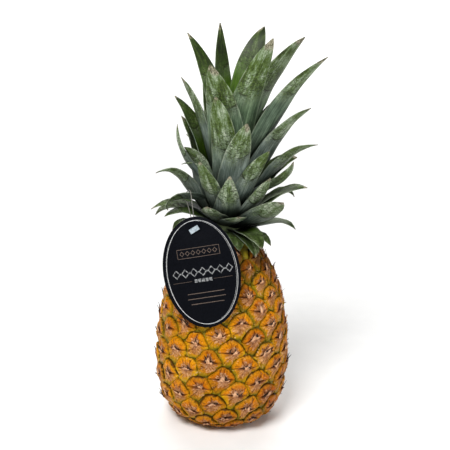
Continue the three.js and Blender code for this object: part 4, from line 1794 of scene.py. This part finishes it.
@dataclass
class HangTag:
    """The oval card with its foil print, and the small bar that holds the cord in front of it.

    Lengths are in mm, in the card's own frame: x to its right, y up it, z out of its face. A pair is
    a length and a width, or half a width and half a height for the band and the lozenges, and
    lozenge_line is a share of the smaller of those.
    """

    half_width: float = 33.5
    half_length: float = 48.5
    thickness: float = 0.9
    card_bevel: float = 0.14
    card_sharp_edge: float = 30.0
    hole_radius: float = 2.2
    hole_up: float = 37.6
    foil: float = 0.06
    foil_bevel: float = 0.03
    band_up: float = 17.9
    band_half: Pair = (18.4, 4.0)
    band_line: float = 0.42
    band_overlap: float = 0.4
    band_step: float = 4.8
    band_lozenge: Pair = (2.1, 2.3)
    lozenge_line: float = 0.22
    row_up: float = 0.8
    row_start: float = -22.0
    row_step: float = 7.7
    row_lozenge: Pair = (3.5, 4.0)
    square: Pair = (1.2, 1.2)
    rules: tuple[Row, ...] = ((-17.6, 32, 0.6), (-22.1, 33, 0.6), (-26.7, 29, 0.6))
    side_rule: Pair = (16.4, 0.26)
    side_out: float = 17.7
    bars_up: float = -6.7
    bar_size: Pair = (2.5, 2.9)
    bar_shift: float = 0.5
    bar_step: float = 3.2
    tab_size: tuple[float, float, float] = (8.6, 4.2, 1.6)
    tab_roll: float = 22.0
    tab_gap: float = 0.3
    tab_rim: float = 0.55
    tab_sink: float = 0.25
    tab_bevel: float = 0.12

    def __post_init__(self) -> None:
        """Work out where the card's own frame lies."""
        turn = Matrix.Rotation(math.radians(TAG_YAW), 4, "Z")
        lean = Matrix.Rotation(math.radians(90 - TAG_LEAN_BACK), 4, "X")
        roll = Matrix.Rotation(math.radians(TAG_ROLL), 4, "Z")
        self.frame = Matrix.Translation(Vector(TAG_CENTRE) * MM) @ turn @ lean @ roll
        self.face = self.thickness / 2

    def settle(self, piece: Piece) -> Piece:
        """Carry a piece from the card's own frame to its place.

        Args:
            piece: The piece.

        Returns:
            The same piece.
        """
        only(piece)
        bpy.ops.object.transform_apply(location=True, rotation=True, scale=True)
        piece.data.transform(self.frame)
        piece.data.update()
        return piece

    def spot(self, x: float, y: float, z: float) -> tuple[float, float, float]:
        """Give a place in the card's frame in metres."""
        return (x * MM, y * MM, z * MM)

    def push(self, way: float) -> None:
        """Extrude the selected faces out of the card, or into it."""
        bpy.ops.mesh.extrude_region_move(TRANSFORM_OT_translate={"value": self.spot(0, 0, way)})

    def card(self) -> Piece:
        """Cut the card with its hole and soften its edges.

        Returns:
            The card, tilted into place.
        """
        clear_selection()
        back = self.spot(0, 0, -self.face)
        bpy.ops.mesh.primitive_circle_add(vertices=128, radius=1, location=back)
        card = named("tag_board")
        open_mesh(card)
        bpy.ops.transform.resize(value=(self.half_width * MM, self.half_length * MM, 1))
        bpy.ops.mesh.primitive_circle_add(
            vertices=32, radius=self.hole_radius * MM, location=self.spot(0, self.hole_up, -self.face),
        )
        bpy.ops.mesh.select_all(action="SELECT")
        bpy.ops.mesh.fill()
        self.push(self.thickness)
        close_mesh()
        modify(card, "BEVEL", width=self.card_bevel * MM, segments=2, limit_method="ANGLE")
        shade(card, self.card_sharp_edge)
        return self.settle(card)

    def ring(self, inset: float, width: float, shift: float, sink: float) -> Piece:
        """Lay an oval line of foil on the card.

        Args:
            inset: Distance of its outer edge from the card's.
            width: Width of the line.
            shift: How far it lies to the right.
            sink: How much lower it lies than the rest of the print.

        Returns:
            The line's object, in the card's own frame.
        """
        clear_selection()
        place = self.spot(shift, 0, self.face - sink)
        bpy.ops.mesh.primitive_circle_add(vertices=160, radius=1, location=place)
        ring = named("ring")
        wide, long = self.half_width - inset, self.half_length - inset
        open_mesh(ring)
        bpy.ops.transform.resize(value=(wide * MM, long * MM, 1), center_override=place)
        bpy.ops.mesh.extrude_edges_move()
        inner = ((wide - width) / wide, (long - width) / long, 1)
        bpy.ops.transform.resize(value=inner, center_override=place)
        close_mesh()
        modify(ring, "SOLIDIFY", thickness=self.foil * MM, offset=0)
        return ring

    def strip(self, x: float, y: float, length: float, width: float, angle: float = 0) -> Piece:
        """Lay a straight foil line on the card.

        Args:
            x: Its middle across the card.
            y: Its middle up the card.
            length: Its length.
            width: Its width.
            angle: Its turn, in degrees.

        Returns:
            The line's object, in the card's own frame.
        """
        clear_selection()
        bpy.ops.mesh.primitive_cube_add(
            size=1, location=self.spot(x, y, self.face), rotation=(0, 0, math.radians(angle)),
            scale=self.spot(length, width, self.foil * 2),
        )
        strip = named("strip")
        bpy.ops.object.transform_apply(location=True, rotation=True, scale=True)
        modify(strip, "BEVEL", width=self.foil_bevel * MM, segments=1)
        return strip

    def lozenge(self, x: float, y: float, half: Pair) -> Piece:
        """Lay a lozenge of foil with an open middle on the card.

        Args:
            x: Its middle across the card.
            y: Its middle up the card.
            half: Half its width and half its height.

        Returns:
            The lozenge's object, in the card's own frame.
        """
        clear_selection()
        place = self.spot(x, y, self.face)
        bpy.ops.mesh.primitive_circle_add(vertices=4, radius=1, fill_type="NGON", location=place)
        lozenge = named("lozenge")
        open_mesh(lozenge)
        bpy.ops.transform.resize(value=(half[0] * MM, half[1] * MM, 1))
        bpy.ops.mesh.inset(thickness=min(half) * self.lozenge_line * MM)
        bpy.ops.mesh.delete(type="ONLY_FACE")
        bpy.ops.object.mode_set(mode="OBJECT")
        modify(lozenge, "SOLIDIFY", thickness=self.foil * MM, offset=0)
        return lozenge

    def band(self) -> list[Piece]:
        """Lay the copper frame with its row of lozenges, and the copper rules below.

        Returns:
            Every strip and lozenge, in the card's own frame.
        """
        half, rise = self.band_half
        line, long, tall = self.band_line, 2 * half + self.band_overlap, 2 * rise + self.band_overlap
        pieces = [self.strip(0, self.band_up + up, long, line) for up in (rise, -rise)]
        pieces += [self.strip(x, self.band_up, line, tall) for x in (-half, half)]
        places = [self.band_step * i for i in range(-3, 4)]
        pieces += [self.lozenge(x, self.band_up, self.band_lozenge) for x in places]
        pieces += [self.strip(1, *rule) for rule in self.rules]
        pieces += [self.strip(x, self.bars_up, *self.side_rule) for x in (-self.side_out, self.side_out)]
        return pieces

    def worn(self) -> list[Piece]:
        """Lay the worn silver: large lozenges with squares between them, and five bars.

        Returns:
            Every lozenge, square and bar, in the card's own frame.
        """
        places = [self.row_start + self.row_step * i for i in range(7)]
        squares = [x + self.row_step / 2 for x in places[:-1]]
        pieces = [self.lozenge(x, self.row_up, self.row_lozenge) for x in places]
        pieces += [self.strip(x, self.row_up, *self.square, 45) for x in squares]
        bars = [self.bar_shift + self.bar_step * i for i in range(-2, 3)]
        pieces += [self.strip(x, self.bars_up, *self.bar_size) for x in bars]
        return pieces

    def rings(self) -> list[Piece]:
        """Lay the silver line round the card, and a thinner one inside it."""
        return [self.ring(2.9, 0.4, 0.5, 0.0), self.ring(3.35, 0.18, -0.3, 0.02)]

    def tab(self) -> Piece:
        """Mould the small bar with rounded edges and a sunk face.

        Returns:
            The bar, tilted into place.
        """
        clear_selection()
        place = self.spot(0, self.hole_up, self.face + self.tab_gap + self.tab_size[2] / 2)
        bpy.ops.mesh.primitive_cube_add(
            size=1, location=place, rotation=(0, 0, math.radians(self.tab_roll)),
            scale=self.spot(*self.tab_size),
        )
        tab = named("tag_bar")
        bpy.ops.object.transform_apply(location=False, rotation=False, scale=True)
        open_mesh(tab)
        bpy.ops.mesh.select_mode(type="FACE")
        bpy.ops.mesh.select_all(action="DESELECT")
        bpy.ops.object.mode_set(mode="OBJECT")
        for face in tab.data.polygons:
            face.select = face.normal.z > 0.9
        bpy.ops.object.mode_set(mode="EDIT")
        bpy.ops.mesh.inset(thickness=self.tab_rim * MM)
        self.push(-self.tab_sink)
        bpy.ops.object.mode_set(mode="OBJECT")
        modify(tab, "BEVEL", width=self.tab_bevel * MM, segments=3, limit_method="ANGLE")
        shade(tab, SHARP_EDGE)
        return self.settle(tab)

    def build(self) -> None:
        """Make and dress the tag."""
        board = PlainFinish("black_card", "05060a", "0a0c12", 900, 0.5, 0.06, gloss=0.04)
        copper = PlainFinish("copper_foil", "463b34", "736358", 1500, 0.45, 0.03, 0.3)
        silver = PlainFinish("silver_foil", "a2a4a4", "e8e9e8", 1300, 0.38, 0.03, 0.35)
        worn = PlainFinish("worn_foil", "34363a", "acaeae", 800, 0.42, 0.03, 0.3)
        plastic = PlainFinish("bar_plastic", "8a969e", "b0bbc1", 600, 0.35, 0.02)
        card = self.card()
        dress(card, "tag_board", board.build())
        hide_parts("tag_card")
        for name, pieces, finish in (
            ("tag_copper", self.band(), copper),
            ("tag_worn_silver", self.worn(), worn),
            ("tag_silver", self.rings(), silver),
        ):
            piece = self.settle(join(name, pieces))
            dress(piece, "tag_board", finish.build())
            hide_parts("tag_card")
        tab = self.tab()
        dress(tab, "tag_plastic", plastic.build())
        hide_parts("tag_tab")


@dataclass
class Cord:
    """The thin cord of two twisted strands that hangs the card on a leaf."""

    radius: float = 0.38
    lobes: float = 0.06
    pitch: float = 3.2
    sides: int = 12
    samples: int = 14

    def build(self) -> None:
        """Sweep the cord along its route, close its ends and dress it."""
        line = spline(CORD_ROUTE, self.samples, 0.5, 1.0)
        runs = np.concatenate([[0], np.cumsum(np.linalg.norm(np.diff(line, axis=0), axis=1))])
        along = np.gradient(line, axis=0)
        along /= np.linalg.norm(along, axis=1)[:, None]
        angle = np.linspace(0, 2 * math.pi, self.sides, endpoint=False)
        side = np.cross(along[0], (0.3, 0.9, 0.2))
        rings = []
        for point, way, run in zip(line, along, runs):
            side = side - way * np.dot(side, way)
            side /= np.linalg.norm(side)
            other = np.cross(way, side)
            twist = np.abs(np.cos(angle - math.pi * run / self.pitch))
            radius = self.radius + self.lobes * (twist - 0.5)
            ring = np.cos(angle)[:, None] * side + np.sin(angle)[:, None] * other
            rings.append(point + ring * radius[:, None])
        count = len(line) * self.sides
        points = np.vstack([*rings, line[:1], line[-1:]])
        faces = np.vstack([tube_quads(len(line), self.sides), fan(count, 0, self.sides, flip=True),
                           fan(count + 1, count - self.sides, self.sides)])
        thread = PlainFinish("cord_thread", "55544e", "86837b", 1400, 0.6, 0.08)
        cord = loose_mesh("tag_string", points, faces)
        dress(cord, "cord", thread.build())
        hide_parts("tag_cord")


# ---- Studio ---------------------------------------------------------------------------------


@dataclass(frozen=True)
class SoftLight:
    """A square lamp that faces a point: places in metres, power in watts."""

    place: tuple[float, float, float]
    aim: tuple[float, float, float]
    size: float
    power: float

    def build(self) -> None:
        """Hang the lamp."""
        bpy.ops.object.light_add(type="AREA", location=self.place)
        lamp = bpy.context.object
        way = Vector(self.aim) - Vector(self.place)
        lamp.rotation_euler = way.to_track_quat("-Z", "Y").to_euler()
        lamp.data.size = self.size
        lamp.data.energy = self.power


@dataclass
class Studio:
    """The pale floor, the soft lights and the camera, in metres."""

    target: tuple[float, float, float] = (0.0, 0.0, 0.18)
    elevation: float = 16.5
    distance: float = 0.99
    roll: float = 1.0
    half_view: float = 0.2025
    sensor: float = 36.0
    frame_shift: Pair = (1 / 450, 3.5 / 450)
    floor_size: float = 16.0
    floor_height: float = -0.0003
    sky_strength: float = 0.13
    main_light: SoftLight = SoftLight((-0.45, -1.2, 1.6), (0.0, 0.0, 0.16), 0.8, 43.0)
    side_light: SoftLight = SoftLight((1.4, -0.9, 0.7), (0.0, 0.0, 0.16), 1.0, 7.0)
    ground_light: SoftLight = SoftLight((0.0, 3.5, 2.8), (0.0, 3.2, 0.0), 3.6, 175.0)

    def camera(self) -> None:
        """Set the camera."""
        bpy.ops.object.camera_add()
        camera = bpy.context.object
        lean = math.radians(self.elevation)
        back = Vector((0.0, -math.cos(lean), math.sin(lean)))
        camera.location = Vector(self.target) + back * self.distance
        facing = (-back).to_track_quat("-Z", "Y").to_matrix()
        camera.rotation_euler = (facing @ Matrix.Rotation(math.radians(self.roll), 3, "Z")).to_euler()
        camera.data.sensor_width = self.sensor
        camera.data.lens = self.sensor / 2 * self.distance / self.half_view
        camera.data.shift_x, camera.data.shift_y = self.frame_shift
        bpy.context.scene.camera = camera

    def floor(self) -> None:
        """Lay the floor."""
        bpy.ops.mesh.primitive_plane_add(size=self.floor_size, location=(0, 0, self.floor_height))
        floor = named("floor")
        paper = PlainFinish("floor_paper", "f1f1f0", "f4f4f3", 30, 0.9, 0.02)
        floor.data.materials.append(paper.build())

    def world(self) -> None:
        """Fill the surroundings with pale light."""
        world = bpy.data.worlds.new("studio")
        world.use_nodes = True
        sky = world.node_tree.nodes["Background"]
        sky.inputs["Color"].default_value = (1.0, 1.0, 1.0, 1.0)
        sky.inputs["Strength"].default_value = self.sky_strength
        bpy.context.scene.world = world
        bpy.context.scene.view_settings.view_transform = "Standard"

    def build(self) -> None:
        """Set up the studio."""
        self.camera()
        self.floor()
        self.world()
        for light in (self.main_light, self.side_light, self.ground_light):
            light.build()


def main() -> None:
    """Build the pineapple and its studio."""
    logging.basicConfig(level=logging.INFO, format="%(name)s: %(message)s")
    Studio().build()
    for part in (Rind(), CutStalk(), Crown(), HangTag(), Cord()):
        LOG.info("building %s", type(part).__name__)
        part.build()


if __name__ == "__main__":
    main()
